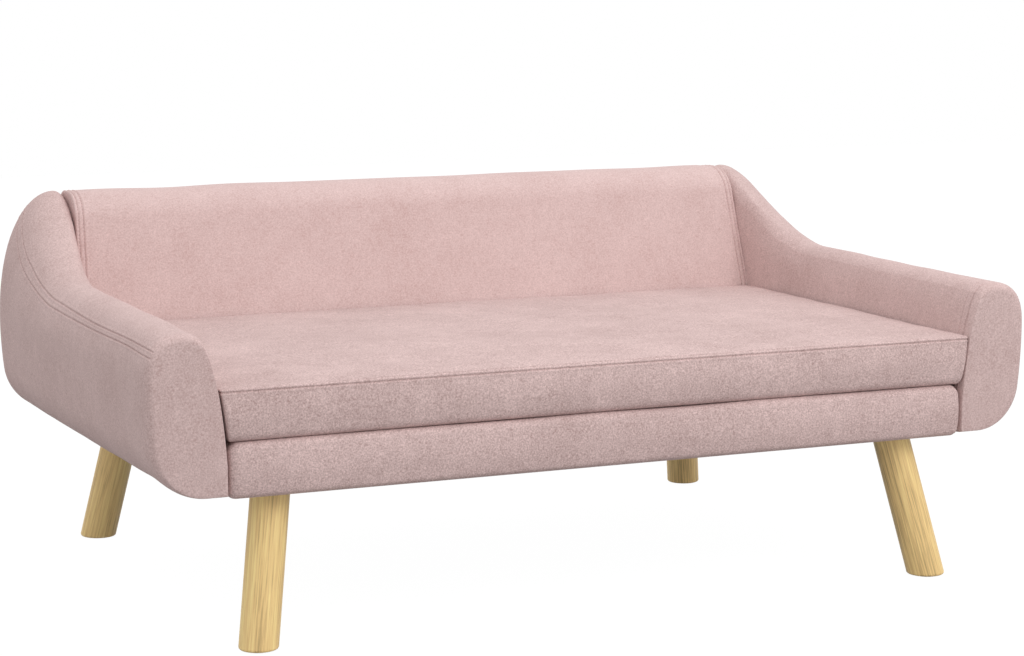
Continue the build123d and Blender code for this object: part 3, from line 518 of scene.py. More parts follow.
def arm_rows(arm, y, inset, inner_inset, lower_inset):
    """Upright sections of the right arm at y, drawn in by the insets, as a grid with one row for
    each y. Round each row run: a level underside, the lower edge's arc, the side's flat arc, a
    quarter ellipse up to the ridge with narrow bands at the two seams, a quarter ellipse down to
    the shoulder, and three lines down the inner face with softened corners. At the front the outer
    ellipse's sine and cosine are raised to 2 / (2 + fullness). Also gives each column's distance
    from the seam in its band, and the seams' columns."""
    top_line = ridge_height(arm, y)
    half_width = arm.width / 2 + arm.front_spread * (1 - smooth_step(y, *SPREAD_RUN))
    inner = arm.inner_x + inner_inset
    bottom = arm.bottom + lower_inset
    outer = half_width - inset
    top = top_line - inset
    ridge = half_width - along_sweep(arm, top_line, arm.ridge_inboard)
    shoulder = half_width - along_sweep(arm, top_line, arm.shoulder_inboard) + inner_inset
    power = 2 / (2 + arm.fullness * (1 - smooth_step(y, *FULLNESS_RUN)))[:, None]
    shoulder_height = top_line - along_sweep(arm, top_line, arm.shoulder_drop)
    radius = arm.lower_radius - inset
    lean = arm.side_lean
    side_radius = (arm.widest_height - bottom - radius * (1 - math.sin(lean))) / math.sin(lean)
    lower_centre = outer - side_radius * (1 - math.cos(lean)) - radius * math.cos(lean)
    lower_seam, upper_seam = seam_turns(y)
    wide, high = outer - ridge, top - arm.widest_height
    middle = (lower_seam + upper_seam) / 2
    reach = SEAM_BAND_SHARE * (upper_seam - lower_seam)
    speed = np.hypot(wide * np.sin(middle), high * np.cos(middle))
    turn_bands = [
        open_steps(0, lower_seam - reach, ARM_BANDS["plain"]) + np.zeros((len(y), 1)),
        open_steps(lower_seam - reach, lower_seam + reach, ARM_BANDS["seam"]),
        open_steps(lower_seam + reach, upper_seam - reach, ARM_BANDS["between"]),
        open_steps(upper_seam - reach, upper_seam + reach, ARM_BANDS["seam"]),
        open_steps(upper_seam + reach, math.pi / 2, 2 * ARM_BANDS["plain"]),
    ]
    outer_turns = np.concatenate(turn_bands, axis=1)
    lower_turns = open_steps(-math.pi / 2, -lean, ARM_BANDS["lower"])
    side_turns = open_steps(-lean, 0, ARM_BANDS["side"])
    inner_turns = open_steps(math.pi / 2, math.pi, ARM_BANDS["inner"])
    column = np.ones(len(y))
    parts_x = [
        open_steps(inner, lower_centre, ARM_BANDS["bottom"]),
        lower_centre[:, None] + radius[:, None] * np.cos(lower_turns),
        (outer - side_radius)[:, None] + side_radius[:, None] * np.cos(side_turns),
        ridge[:, None] + wide[:, None] * np.cos(outer_turns) ** power,
        ridge[:, None] + (ridge - shoulder)[:, None] * np.cos(inner_turns),
        open_steps(shoulder, arm.bend_x + inner_inset, ARM_BANDS["line"]),
        open_steps(arm.bend_x + inner_inset, inner, ARM_BANDS["line"]),
        open_steps(inner, inner, ARM_BANDS["line"]),
    ]
    parts_z = [
        open_steps(bottom, bottom, ARM_BANDS["bottom"]),
        (bottom + radius)[:, None] + radius[:, None] * np.sin(lower_turns),
        arm.widest_height + side_radius[:, None] * np.sin(side_turns),
        arm.widest_height + high[:, None] * np.sin(outer_turns) ** power,
        shoulder_height[:, None] + (top - shoulder_height)[:, None] * np.sin(inner_turns),
        open_steps(shoulder_height, column * arm.bend_height, ARM_BANDS["line"]),
        open_steps(column * arm.bend_height, column * arm.lean_start, ARM_BANDS["line"]),
        open_steps(column * arm.lean_start, bottom, ARM_BANDS["line"]),
    ]
    x, z = np.concatenate(parts_x, axis=1), np.concatenate(parts_z, axis=1)
    grid = np.stack([x, np.broadcast_to(y[:, None], x.shape), z], axis=-1)
    softened = slice(-3 * ARM_BANDS["line"] - ARM_BANDS["inner"] // 2, -ARM_BANDS["line"] // 2)
    eased(grid[:, softened])
    lower_first = ARM_BANDS["bottom"] + ARM_BANDS["lower"] + ARM_BANDS["side"] + ARM_BANDS["plain"]
    upper_first = lower_first + ARM_BANDS["seam"] + ARM_BANDS["between"]
    columns = [first + ARM_BANDS["seam"] // 2 for first in (lower_first, upper_first)]
    distance = np.full(x.shape, FAR)
    steps = np.linspace(-1, 1, ARM_BANDS["seam"], endpoint=False)
    for first in (lower_first, upper_first):
        distance[:, first : first + ARM_BANDS["seam"]] = (reach * speed)[:, None] * steps
    return grid, distance, columns


def cap_rows(loop, centre, bulge, count, outward):
    """Rows that close an end of the arm: the loop drawn towards a centre in even shares s, and bulged
    outwards by bulge times (1 - s squared)."""
    rows, shares = closing_rows(loop[None], centre, CAP_FIRST_SHARE, count)
    rows[..., 1] = loop[:, 1] + outward * bulge * (1 - shares[..., 0] ** 2)
    return rows


def arm_stations(arm, seams):
    """The rows of an arm from front to rear: y, inset, inner inset and lower inset. They lie closer
    together at the front panel's seams."""
    inset_front, step_front = rounded_turns(arm.front_rounding, FRONT_ROWS, opening=True)
    inset_rear, step_rear = rounded_turns(arm.rear_rounding, REAR_ROWS, opening=False)
    front, rear = -arm.depth / 2, arm.depth / 2
    band_end = front + seams.front_seam + seams.second_seam + SEAM_BAND_WIDTHS * seams.width
    band = np.arange(front + arm.front_rounding + FRONT_MARGIN, band_end, SEAM_STEP)
    body = np.arange(band_end + BAND_MARGIN, rear - arm.rear_rounding - REAR_MARGIN, PLAIN_STEP)
    y = np.concatenate([front + step_front, band, body, rear - step_rear])
    level = np.zeros(len(band) + len(body))
    turned = inset_front / arm.front_rounding
    inset = np.concatenate([arm.outer_softness * turned, level, inset_rear])
    inner = np.concatenate([arm.inner_softness * turned, level, REAR_INNER_SHARE * inset_rear])
    lower = np.concatenate([arm.lower_softness * turned, level, inset_rear])
    return y, inset, inner, lower


def pucker(grid, place, reach, turn):
    """Small wrinkles that fan out from a place on the cloth: a bell times a sine across it."""
    away = grid - np.asarray(place)
    across = away @ np.asarray(turn, float)
    bell = np.exp(-np.sum((away / np.asarray(reach)) ** 2, axis=-1))
    return bell * np.sin(across * 2 * math.pi / PUCKER_PITCH)


def arm_grid(arm, seams, seed):
    """The right arm's padded cover: its sections from front to rear, with creases along the two
    seams of the outer side, two more behind the front panel where it stands beside the seat, a soft
    fold behind the panel on the outer side, soft unevenness and a few wrinkles. Also gives the outer
    seams' columns, the number of rows in the front's cap, and each row's distance from the front."""
    y, *insets = arm_stations(arm, seams)
    grid, distance, columns = arm_rows(arm, y, *insets)
    normals = grid_normals(grid)
    behind = y + arm.depth / 2
    shown = smooth_step(behind, SEAM_FADE_SHARE * seams.fade, seams.fade)[:, None]
    height = crease(distance, seams) * shown
    beside_seat = smooth_step(-normals[..., 0], *INNER_SIDE)
    outside = smooth_step(normals[..., 0], *OUTER_SIDE) * (1 - smooth_step(grid[..., 2], *FOLD_TOP))
    from_seam = (behind - seams.front_seam)[:, None]
    height += crease(from_seam, seams, FRONT_SEAM_WEIGHT) * beside_seat
    height += crease(from_seam - seams.second_seam, seams) * beside_seat
    height -= FOLD_DEPTH * np.exp(-((from_seam / FOLD_WIDTH) ** 2)) * outside
    height += uneven(grid, seams.waviness, seed) * smooth_step(behind, *UNEVEN_START)[:, None]
    height += PUCKER_DEPTH * pucker(grid, PUCKER_PLACE, PUCKER_REACH, PUCKER_TURN)
    grid = grid + normals * height[..., None]
    centre = np.array(CAP_CENTRE)
    front_cap = cap_rows(grid[0], centre, arm.front_bulge, FRONT_CAP_ROWS, -1)
    rear_cap = cap_rows(grid[-1], centre + REAR_CAP_LIFT, arm.rear_bulge, REAR_CAP_ROWS, 1)[::-1]
    return np.concatenate([front_cap, grid, rear_cap]), columns, len(front_cap), behind


def inner_face(arm, y, z):
    """Distance of the right arm's inner face from the middle at y and z, found along the lines and
    the quarter ellipse of its section there."""
    half_depth = arm.depth / 2
    drawn = np.clip(y - (half_depth - arm.rear_rounding), 0, arm.rear_rounding)
    inset = arm.rear_rounding - np.sqrt(arm.rear_rounding**2 - drawn**2)
    top_line = ridge_height(arm, y)
    top = top_line - inset
    ridge = arm.width / 2 - along_sweep(arm, top_line, arm.ridge_inboard)
    shoulder = arm.width / 2 - along_sweep(arm, top_line, arm.shoulder_inboard)
    shoulder = shoulder + REAR_INNER_SHARE * inset
    shoulder_height = top_line - along_sweep(arm, top_line, arm.shoulder_drop)
    lean_share = np.clip((z - arm.lean_start) / (arm.bend_height - arm.lean_start), 0, 1)
    low = arm.inner_x + (arm.bend_x - arm.inner_x) * lean_share + REAR_INNER_SHARE * inset
    high_share = np.clip((z - arm.bend_height) / (shoulder_height - arm.bend_height), 0, 1)
    line = arm.bend_x + (shoulder - arm.bend_x) * high_share
    risen = np.clip((z - shoulder_height) / (top - shoulder_height), 0, 1)
    curved = ridge - (ridge - shoulder) * np.sqrt(1 - risen**2)
    return np.where(z < arm.bend_height, low, np.where(z < shoulder_height, line, curved))


# Back

# How many columns each stretch of the back's section has, in their order round it
BACK_BANDS = {"foot": 14, "front": 44, "front_arc": 26, "top": 6, "rear_arc": 16, "rear": 44}
BACK_BANDS |= {"underside": 16}

# How many rows round an end, spread over half of the middle, and close an end
BACK_END_ROWS, BACK_MIDDLE_ROWS, BACK_CAP_ROWS = 9, 84, 10
BACK_CAP_FIRST_SHARE = 0.05

# The close rows near an end: their step, the room behind the rounding, and how far past the seams
BACK_STEP, BACK_MARGIN, BACK_BAND_END = 0.0006, 0.0004, 0.006

# How many times as deep as a plain seam the second one is
SECOND_SEAM_WEIGHT = 1.2

# The unevenness: its seed, its strength, and the distances from an end where it sets in
BACK_SEED, BACK_WAVE_SHARE = 31, 1.2
BACK_WAVE_START = (0.02, 0.05)

# How many columns below the front's bend the stitches start
STITCH_LEAD_COLUMNS = 2


def back_loop(back, inset):
    """The back's upright section drawn in by inset, as y and z round it: the upright foot, the
    leaning front, the top's front arc, the level top, the rear arc, the rear and the underside."""
    lean = back.lean
    centre_z = back.height - back.top_radius
    touch_z = centre_z + back.top_radius * math.sin(lean)
    leaned = (touch_z - back.bend_height) * math.tan(lean)
    centre_y = back.front + leaned + back.top_radius * math.cos(lean)
    foot_y, rear_y, bottom = back.front + inset, back.rear - inset, back.bottom + inset
    bend_z = back.bend_height - inset * math.tan(lean / 2)
    bands = BACK_BANDS
    front_turns = open_steps(math.pi - lean, math.pi / 2, bands["front_arc"])
    rear_turns = open_steps(math.pi / 2, 0, bands["rear_arc"])
    front_radius, rear_radius = back.top_radius - inset, back.rear_radius - inset
    touch_y = centre_y - front_radius * math.cos(lean)
    front_end_z = centre_z + front_radius * math.sin(lean)
    rear_centre_y, rear_centre_z = back.rear - back.rear_radius, back.height - back.rear_radius
    top_z = back.height - inset
    y = [
        open_steps(foot_y, foot_y, bands["foot"]),
        open_steps(foot_y, touch_y, bands["front"]),
        centre_y + front_radius * np.cos(front_turns),
        open_steps(centre_y, rear_centre_y, bands["top"]),
        rear_centre_y + rear_radius * np.cos(rear_turns),
        open_steps(rear_y, rear_y, bands["rear"]),
        open_steps(rear_y, foot_y, bands["underside"]),
    ]
    z = [
        open_steps(bottom, bend_z, bands["foot"]),
        open_steps(bend_z, front_end_z, bands["front"]),
        centre_z + front_radius * np.sin(front_turns),
        open_steps(top_z, top_z, bands["top"]),
        rear_centre_z + rear_radius * np.sin(rear_turns),
        open_steps(rear_centre_z, bottom, bands["rear"]),
        open_steps(bottom, bottom, bands["underside"]),
    ]
    return np.stack([np.concatenate(y), np.concatenate(z)], axis=-1)


def back_end(arm, back, y, z):
    """How far the back reaches at y and z: a little into the arm's inner face, and no further than a
    line from the arm's bend up to the back's top."""
    limit_x = arm.width / 2 - back.top_inboard
    climbed = np.clip((z - arm.bend_height) / (arm.height - arm.bend_height), 0, 1)
    limit = arm.bend_x + (limit_x - arm.bend_x) * climbed
    return np.minimum(inner_face(arm, y, z) + back.end_tuck, limit)


def back_grid(arm, back, seams):
    """The back's padded cover: its section carried across from end to end. Near an end the rows
    keep a fixed distance from the arm's inner face, with creases at the two seams, and between
    they spread evenly. Also gives the distances of an end's rows and the number of rows in a cap."""
    inset_end, step_end = rounded_turns(back.end_rounding, BACK_END_ROWS, opening=True)
    band_end = seams.back_seam_second + BACK_BAND_END
    plain = np.arange(back.end_rounding + BACK_MARGIN, band_end, BACK_STEP)
    distance = np.concatenate([step_end, plain])
    inset = np.concatenate([inset_end, np.zeros(len(plain))])
    spread = np.linspace(1, 0, BACK_MIDDLE_ROWS, endpoint=False)[1:]
    loops = np.stack([back_loop(back, amount) for amount in inset])
    ends = back_end(arm, back, loops[..., 0], loops[..., 1])
    near = np.stack([ends - distance[:, None], loops[..., 0], loops[..., 1]], axis=-1)
    across = near[-1, :, 0] * spread[:, None]
    loop = np.broadcast_to(loops[-1], (len(spread), *loops[-1].shape))
    middle = np.stack([across, loop[..., 0], loop[..., 1]], axis=-1)
    right = np.concatenate([near, middle])
    centre_row = np.stack([0 * loops[-1][:, 0], loops[-1][:, 0], loops[-1][:, 1]], axis=-1)
    left = right[::-1] * np.array([-1, 1, 1])
    grid = np.concatenate([right, centre_row[None], left])
    normals = grid_normals(grid)
    far = np.full(len(spread) + 1, FAR)
    from_end = np.concatenate([distance, far, far[1:], distance[::-1]])
    height = crease(from_end - seams.back_seam_first, seams)
    height = height + crease(from_end - seams.back_seam_second, seams, SECOND_SEAM_WEIGHT)
    shown = smooth_step(from_end, *BACK_WAVE_START)[:, None]
    height = height[:, None] + uneven(grid, BACK_WAVE_SHARE * seams.waviness, BACK_SEED) * shown
    grid = grid + normals * height[..., None]
    caps = [
        closing_rows(row[None], row.mean(axis=0), BACK_CAP_FIRST_SHARE, BACK_CAP_ROWS)[0]
        for row in (grid[0], grid[-1])
    ]
    return np.concatenate([caps[0], grid, caps[1][::-1]]), distance, len(caps[0])


# Base

# How many columns a long side, a short side and a corner have
BASE_LONG_COLUMNS, BASE_SHORT_COLUMNS, BASE_CORNER_COLUMNS = 150, 90, 9

# How many rows round an edge, and close the top and the underside
BASE_EDGE_ROWS, BASE_FLAT_ROWS = 12, 40

# The rows up the side: their step and the room above the lower edge
BASE_STEP, BASE_MARGIN = 0.0014, 0.001

# The least radius that the upright corners keep where the edges turn in
BASE_LEAST_RADIUS = 0.001

# How deep the hem's crease is, as a share of a plain seam's
HEM_WEIGHT = 0.3

# The unevenness: its seed, its strength, and the height over which it sets in
BASE_SEED, BASE_WAVE_SHARE, BASE_WAVE_RISE = 57, 0.8, 0.02

# The shares of the way out between which the underside comes down to the lower edge
UNDER_EDGE_SHARES = (0.9, 0.99)


def rounded_plan(half_x, half_y, radius, along_x, along_y, corner_count):
    """A rectangle with rounded corners as x and y round it, for each row's half sizes and radius:
    the sides keep the shares of their length given, and a quarter arc joins each pair."""
    half_x, half_y, radius = (np.asarray(v, float)[:, None] for v in (half_x, half_y, radius))
    flat_x, flat_y = half_x - radius, half_y - radius
    turns = np.linspace(0, math.pi / 2, corner_count + 2)[None, 1:-1]
    one = np.ones_like(half_x)
    sine, cosine = radius * np.sin(turns), radius * np.cos(turns)
    x = [flat_x * along_x, flat_x + sine, half_x * one * np.ones_like(along_y), flat_x + cosine]
    y = [-half_y * np.ones_like(along_x), -flat_y - cosine, flat_y * along_y, flat_y + sine]
    x = np.concatenate(x, axis=1)
    y = np.concatenate(y, axis=1)
    return np.stack([np.concatenate([x, -x], axis=1), np.concatenate([y, -y], axis=1)], axis=-1)


def base_grid(base, seams):
    """The base's cover: a box with rounded corners and edges, its front and rear bulged by a sine
    over their height, with a crease above its hem. At the two ends the edges have radii of their
    own, and the underside lies a little above the lower edge."""
    inset_low, step_low = rounded_turns(base.edge_radius, BASE_EDGE_ROWS, opening=True)
    inset_high, step_high = rounded_turns(base.edge_radius, BASE_EDGE_ROWS, opening=False)
    rise_start = base.bottom + base.edge_radius + BASE_MARGIN
    rise = np.arange(rise_start, base.top - base.edge_radius, BASE_STEP)
    z = np.concatenate([base.bottom + step_low, rise, base.top - step_high])
    inset = np.concatenate([inset_low, 0 * rise, inset_high])
    risen = (z - base.bottom) / (base.top - base.bottom)
    over = np.maximum(z - base.top + base.end_upper_radius, 0)
    under = np.maximum(base.bottom + base.end_lower_radius - z, 0)
    upper, lower = base.end_upper_radius, base.end_lower_radius
    end_inset = upper - np.sqrt(upper**2 - over**2) + lower - np.sqrt(lower**2 - under**2)
    inset = inset - base.bulge * np.sin(math.pi * risen)
    radius = np.maximum(base.corner_radius - np.maximum(inset, 0), BASE_LEAST_RADIUS)
    along_x, along_y = np.linspace(-1, 1, BASE_LONG_COLUMNS), np.linspace(-1, 1, BASE_SHORT_COLUMNS)
    half_x, half_y = base.half_width - end_inset, base.half_depth - inset
    plan = rounded_plan(half_x, half_y, radius, along_x, along_y, BASE_CORNER_COLUMNS)
    side = np.concatenate([plan, np.broadcast_to(z[:, None, None], (*plan.shape[:2], 1))], axis=-1)
    normals = grid_normals(side)
    height = crease(z - base.bottom - base.hem_rise, seams, HEM_WEIGHT)[:, None]
    shown = smooth_step(z, base.bottom, base.bottom + BASE_WAVE_RISE)[:, None]
    height = height + uneven(side, BASE_WAVE_SHARE * seams.waviness, BASE_SEED) * shown
    side = side + normals * height[..., None]
    centre_low, centre_high = np.array([0, 0, base.bottom]), np.array([0, 0, base.top])
    lower, shares = closing_rows(side[:1], centre_low, FLAT_FIRST_SHARE, BASE_FLAT_ROWS)
    lower[..., 2] += base.under_rise * (1 - smooth_step(shares[..., 0], *UNDER_EDGE_SHARES))
    upper = closing_rows(side[-1:], centre_high, FLAT_FIRST_SHARE, BASE_FLAT_ROWS)[0][::-1]
    return np.concatenate([lower, side, upper])


# Cushion

# How many columns a long side, a short side and a corner have
CUSHION_LONG_COLUMNS, CUSHION_SHORT_COLUMNS, CUSHION_CORNER_COLUMNS = 140, 84, 8

# How many rows round the lower and the upper edge, and close the underside
CUSHION_LOWER_ROWS, CUSHION_UPPER_ROWS, CUSHION_FLAT_ROWS = 9, 16, 24

# The rows up the side: their room above the lower edge, their step, and how far below the upper
# edge they end
CUSHION_MARGIN, CUSHION_STEP, CUSHION_STEP_END = 0.0006, 0.0011, 0.0045

# The close rows at the seam: their step, and how far below the upper edge they start
CUSHION_SEAM_STEP, CUSHION_SEAM_BAND = 0.0003, 0.0042

# The least radius that the upright corners keep where the edges turn in
CUSHION_LEAST_RADIUS = 0.0015

# The sides' unevenness: its seed, its strength, and the height over which it sets in
SIDE_SEED, SIDE_WAVE_SHARE, SIDE_WAVE_RISE = 83, 0.9, 0.015

# The top's unevenness: its seed, its strength, and the distances from the rim where it sets in
TOP_SEED, TOP_WAVE_SHARE = 12, 1.1
TOP_WAVE_START = (0.002, 0.03)

# The top's rows, as shares of the way out: even ones, and closer ones counted back from the rim
TOP_EVEN_SHARES, TOP_EVEN_ROWS = (0.02, 0.96), 60
TOP_EDGE_SHARES, TOP_EDGE_ROWS = (0.036, 0.0006), 26

# The zip's opening: extra columns beside its ends, as shares of the side, how soft its ends and
# edges are, and the shares of the way to the rear where it sets in
ZIP_END_STEPS = (-0.004, -0.0022, -0.0005, 0.0012, 0.003)
ZIP_END_EASE, ZIP_EDGE_EASE = 0.0008, 0.0006
ZIP_REAR_SHARES = (0.97, 0.99)


def cushion_side_columns(cushion):
    """Shares along the cushion's long sides, close together at the zip's two ends."""
    even = np.linspace(-1, 1, CUSHION_LONG_COLUMNS)
    end = cushion.zip_half_length / (cushion.half_width - cushion.corner_radius)
    steps = np.array(ZIP_END_STEPS)
    return np.unique(np.concatenate([even, end + steps, -end + steps]))


def cushion_grid(cushion, seams):
    """The cushion's cover: a leaning box whose front and ends pull in between its corners by a
    parabola and whose front bulges by a sine over its height, under a crown that rises by the root
    of (1 - x squared) times (1 - y squared), with a seam below its top edge and an opening for the
    zip at its rear."""
    inset_low, step_low = rounded_turns(cushion.lower_rounding, CUSHION_LOWER_ROWS, opening=True)
    inset_high, step_high = rounded_turns(cushion.upper_rounding, CUSHION_UPPER_ROWS, opening=False)
    edge = cushion.bottom + cushion.edge_height
    low_end, high_start = cushion.bottom + cushion.lower_rounding, edge - cushion.upper_rounding
    plain_rise = np.arange(low_end + CUSHION_MARGIN, high_start - CUSHION_STEP_END, CUSHION_STEP)
    seam_rise = np.arange(high_start - CUSHION_SEAM_BAND, high_start, CUSHION_SEAM_STEP)
    rise = np.concatenate([plain_rise, seam_rise])
    z = np.concatenate([cushion.bottom + step_low, rise, edge - step_high])
    inset = np.concatenate([inset_low, 0 * rise, inset_high])
    risen = (z - cushion.bottom) / cushion.edge_height
    rear = cushion.rear - cushion.rear_lean * (1 - risen)
    half_y = (rear + cushion.front) / 2
    middle_y = (rear - cushion.front) / 2
    half_x = cushion.half_width + (z - cushion.bottom) * cushion.side_slope
    radius = np.maximum(cushion.corner_radius - inset, CUSHION_LEAST_RADIUS)
    along_x, along_y = cushion_side_columns(cushion), np.linspace(-1, 1, CUSHION_SHORT_COLUMNS)
    end_share = cushion.end_rounding / cushion.lower_rounding
    end_inset = np.concatenate([end_share * inset_low, 0 * rise, inset_high])
    half_sizes = half_x - end_inset, half_y - inset
    plan = rounded_plan(*half_sizes, radius, along_x, along_y, CUSHION_CORNER_COLUMNS)
    share_x = plan[..., 0] / half_x[:, None]
    share_y = plan[..., 1] / half_y[:, None]
    pulled_x = cushion.draw_in * share_x * (1 - share_y**2)
    pulled_y = cushion.draw_in * np.minimum(share_y, 0) * (1 - share_x**2)
    taper = cushion.rear_taper * share_x * (1 + share_y) / 2
    x = plan[..., 0] - pulled_x - taper
    bulged_y = cushion.front_bulge * np.sin(math.pi * risen)[:, None] * np.minimum(share_y, 0)
    y = plan[..., 1] - pulled_y + bulged_y + middle_y[:, None]
    side = np.stack([x, y, np.broadcast_to(z[:, None], x.shape)], axis=-1)
    normals = grid_normals(side)
    shown = smooth_step(z, cushion.bottom, cushion.bottom + SIDE_WAVE_RISE)[:, None]
    height = crease(z - high_start + cushion.seam_drop, seams)[:, None]
    height = height + uneven(side, SIDE_WAVE_SHARE * seams.waviness, SIDE_SEED) * shown
    side = side + normals * height[..., None]
    at_rear = smooth_step(share_y, *ZIP_REAR_SHARES)
    along = smooth_step(cushion.zip_half_length - np.abs(x), -ZIP_END_EASE, ZIP_END_EASE)
    within = cushion.zip_half_height - np.abs(z - cushion.zip_height)
    level = smooth_step(within, -ZIP_EDGE_EASE, ZIP_EDGE_EASE)[:, None]
    side[..., 1] -= cushion.zip_depth * at_rear * along * level
    rim = side[-1]
    centre = np.array([0, rim[:, 1].mean(), rim[:, 2].mean()])
    even = np.linspace(*TOP_EVEN_SHARES, TOP_EVEN_ROWS)
    near_edge = 1 - np.geomspace(*TOP_EDGE_SHARES, TOP_EDGE_ROWS)
    steps = np.concatenate([even, near_edge])[::-1]
    top = centre + (rim[None] - centre) * steps[:, None, None]
    over_x = np.clip(top[..., 0] / np.abs(rim[:, 0]).max(), -1, 1)
    over_y = np.clip((top[..., 1] - centre[1]) / np.abs(rim[:, 1] - centre[1]).max(), -1, 1)
    bowl = np.sqrt(np.maximum((1 - over_x**2) * (1 - over_y**2), 0))
    from_rim = np.linalg.norm(rim[None, :, :2] - top[..., :2], axis=-1)
    top[..., 2] += cushion.crown * bowl
    away = smooth_step(from_rim, *TOP_WAVE_START)
    top[..., 2] += uneven(top, TOP_WAVE_SHARE * seams.waviness, TOP_SEED) * away
    under_centre = np.array([0, side[0, :, 1].mean(), cushion.bottom])
    lower = closing_rows(side[:1], under_centre, FLAT_FIRST_SHARE, CUSHION_FLAT_ROWS)[0]
    return np.concatenate([lower, side, top])


# Stitches

# How many sides a stitch has
STITCH_SIDES = 6

# The rings of one stitch: their places as shares of its length, and their shares of its radius
STITCH_RING_SHARES = (-0.5, -0.3, 0.3, 0.5)
STITCH_RADIUS_SHARES = (0.05, 1, 1, 0.05)


def stitch_mesh(name, paths, seams):
    """Stitches along each path: spindles with a few sides, full in the middle and almost pointed at
    both ends, laid one pitch apart by the path's own length."""
    rings, radii = np.array(STITCH_RING_SHARES), np.array(STITCH_RADIUS_SHARES)
    sides = np.arange(STITCH_SIDES) * math.pi / (STITCH_SIDES / 2)
    groups = []
    for path, normals in paths:
        steps = np.linalg.norm(np.diff(path, axis=0), axis=1)
        gone = np.concatenate([[0], np.cumsum(steps)])
        last = gone[-1] - seams.stitch_length
        centres = np.arange(seams.stitch_length, last, seams.stitch_length + seams.stitch_gap)
        places = centres[:, None] + rings * seams.stitch_length
        line = np.stack([np.interp(places, gone, path[:, i]) for i in range(3)], axis=-1)
        up = np.stack([np.interp(places, gone, normals[:, i]) for i in range(3)], axis=-1)
        ahead = np.gradient(line, axis=1)
        ahead /= np.linalg.norm(ahead, axis=-1, keepdims=True)
        aside = np.cross(ahead, up)
        aside /= np.linalg.norm(aside, axis=-1, keepdims=True)
        spread = aside[..., None, :] * np.cos(sides)[:, None] + up[..., None, :] * np.sin(sides)[:, None]
        radius = seams.thread_radius * radii[:, None, None]
        groups.append(line[..., None, :] + spread * radius)
    points = np.concatenate(groups)
    one = np.arange(len(rings) * STITCH_SIDES).reshape(len(rings), STITCH_SIDES)
    beside = np.roll(one, -1, axis=1)
    quads = np.stack([one[:-1], beside[:-1], beside[1:], one[1:]], axis=-1).reshape(-1, 4)
    ends = np.stack([one[0][::-1], one[-1]])
    start = one.size * np.arange(len(points))[:, None, None]
    faces = (quads[None] + start).reshape(-1, 4).tolist()
    faces += (ends[None] + start).reshape(-1, STITCH_SIDES).tolist()
    mesh = bpy.data.meshes.new(name)
    mesh.from_pydata(points.reshape(-1, 3).tolist(), [], faces)
    mesh.polygons.foreach_set("use_smooth", np.ones(len(faces), bool))
    mesh.update()
    return mesh


# Materials

# How far the cloth's hollows darken and its tips lighten with the mottle
HOLLOW_SHARE, TIP_SHARE = 0.8, 0.95

# How much red, green and blue the hollows keep, and the sheen's own colour
HOLLOW_WARMTH = (1, 0.89, 0.87)
SHEEN_TINT = (1, 0.93, 0.92, 1)

# Turns that lay the grain, which runs along Z, along the sofa's width
ALONG_X = (0, math.pi / 2, 0)


class Recipe:
    """Builds one material's nodes, all on Object coordinates."""

    def __init__(self, name):
        self.material = bpy.data.materials.new(name)
        self.material.use_nodes = True
        self.nodes = self.material.node_tree.nodes
        self.links = self.material.node_tree.links
        self.shader = self.nodes["Principled BSDF"]
        self.place = self.nodes.new("ShaderNodeTexCoord").outputs["Object"]

    def mapped(self, stretch, turn=(0, 0, 0)):
        """The place, turned and then stretched along each axis."""
        turned = self.nodes.new("ShaderNodeMapping")
        turned.inputs["Rotation"].default_value = turn
        self.links.new(self.place, turned.inputs["Vector"])
        scaled = self.nodes.new("ShaderNodeMapping")
        scaled.inputs["Scale"].default_value = stretch
        self.links.new(turned.outputs["Vector"], scaled.inputs["Vector"])
        return scaled.outputs["Vector"]

    def noise(self, scale, detail=3, roughness=0.55, place=None, distortion=0):
        """Noise from 0 to 1, with scale repeats a metre."""
        node = self.nodes.new("ShaderNodeTexNoise")
        node.inputs["Scale"].default_value = scale
        node.inputs["Detail"].default_value = detail
        node.inputs["Roughness"].default_value = roughness
        node.inputs["Distortion"].default_value = distortion
        self.links.new(place or self.place, node.inputs["Vector"])
        return node.outputs["Fac"]

    def sum(self, *parts):
        """The sum of sockets, each times its weight."""
        total = None
        for socket, weight in parts:
            node = self.nodes.new("ShaderNodeMath")
            node.operation = "MULTIPLY_ADD"
            node.inputs[1].default_value = weight
            node.inputs[2].default_value = 0
            self.links.new(socket, node.inputs[0])
            if total is not None:
                self.links.new(total, node.inputs[2])
            total = node.outputs[0]
        return total

    def ramp(self, value, *stops):
        """A colour for each value, from stops of place and colour."""
        node = self.nodes.new("ShaderNodeValToRGB")
        elements = node.color_ramp.elements
        while len(elements) < len(stops):
            elements.new(0.5)
        for element, (place, tint) in zip(elements, stops):
            element.position = place
            element.color = (*tint, 1)
        self.links.new(value, node.inputs["Fac"])
        return node.outputs["Color"]

    def paint(self, socket):
        """Gives the shader its colour."""
        self.links.new(socket, self.shader.inputs["Base Color"])

    def roughen(self, value, low, high):
        """Roughness from low to high as the value runs from 0 to 1."""
        node = self.nodes.new("ShaderNodeMapRange")
        node.inputs["To Min"].default_value = low
        node.inputs["To Max"].default_value = high
        self.links.new(value, node.inputs["Value"])
        self.links.new(node.outputs["Result"], self.shader.inputs["Roughness"])

    def bump(self, height, distance, strength=1):
        """A bump as deep as distance, in metres."""
        node = self.nodes.new("ShaderNodeBump")
        node.inputs["Distance"].default_value = distance
        node.inputs["Strength"].default_value = strength
        self.links.new(height, node.inputs["Height"])
        self.links.new(node.outputs["Normal"], self.shader.inputs["Normal"])

    def set(self, **values):
        """Sets the shader's own sockets, whose names are given with underscores."""
        for name, value in values.items():
            self.shader.inputs[name.replace("_", " ")].default_value = value


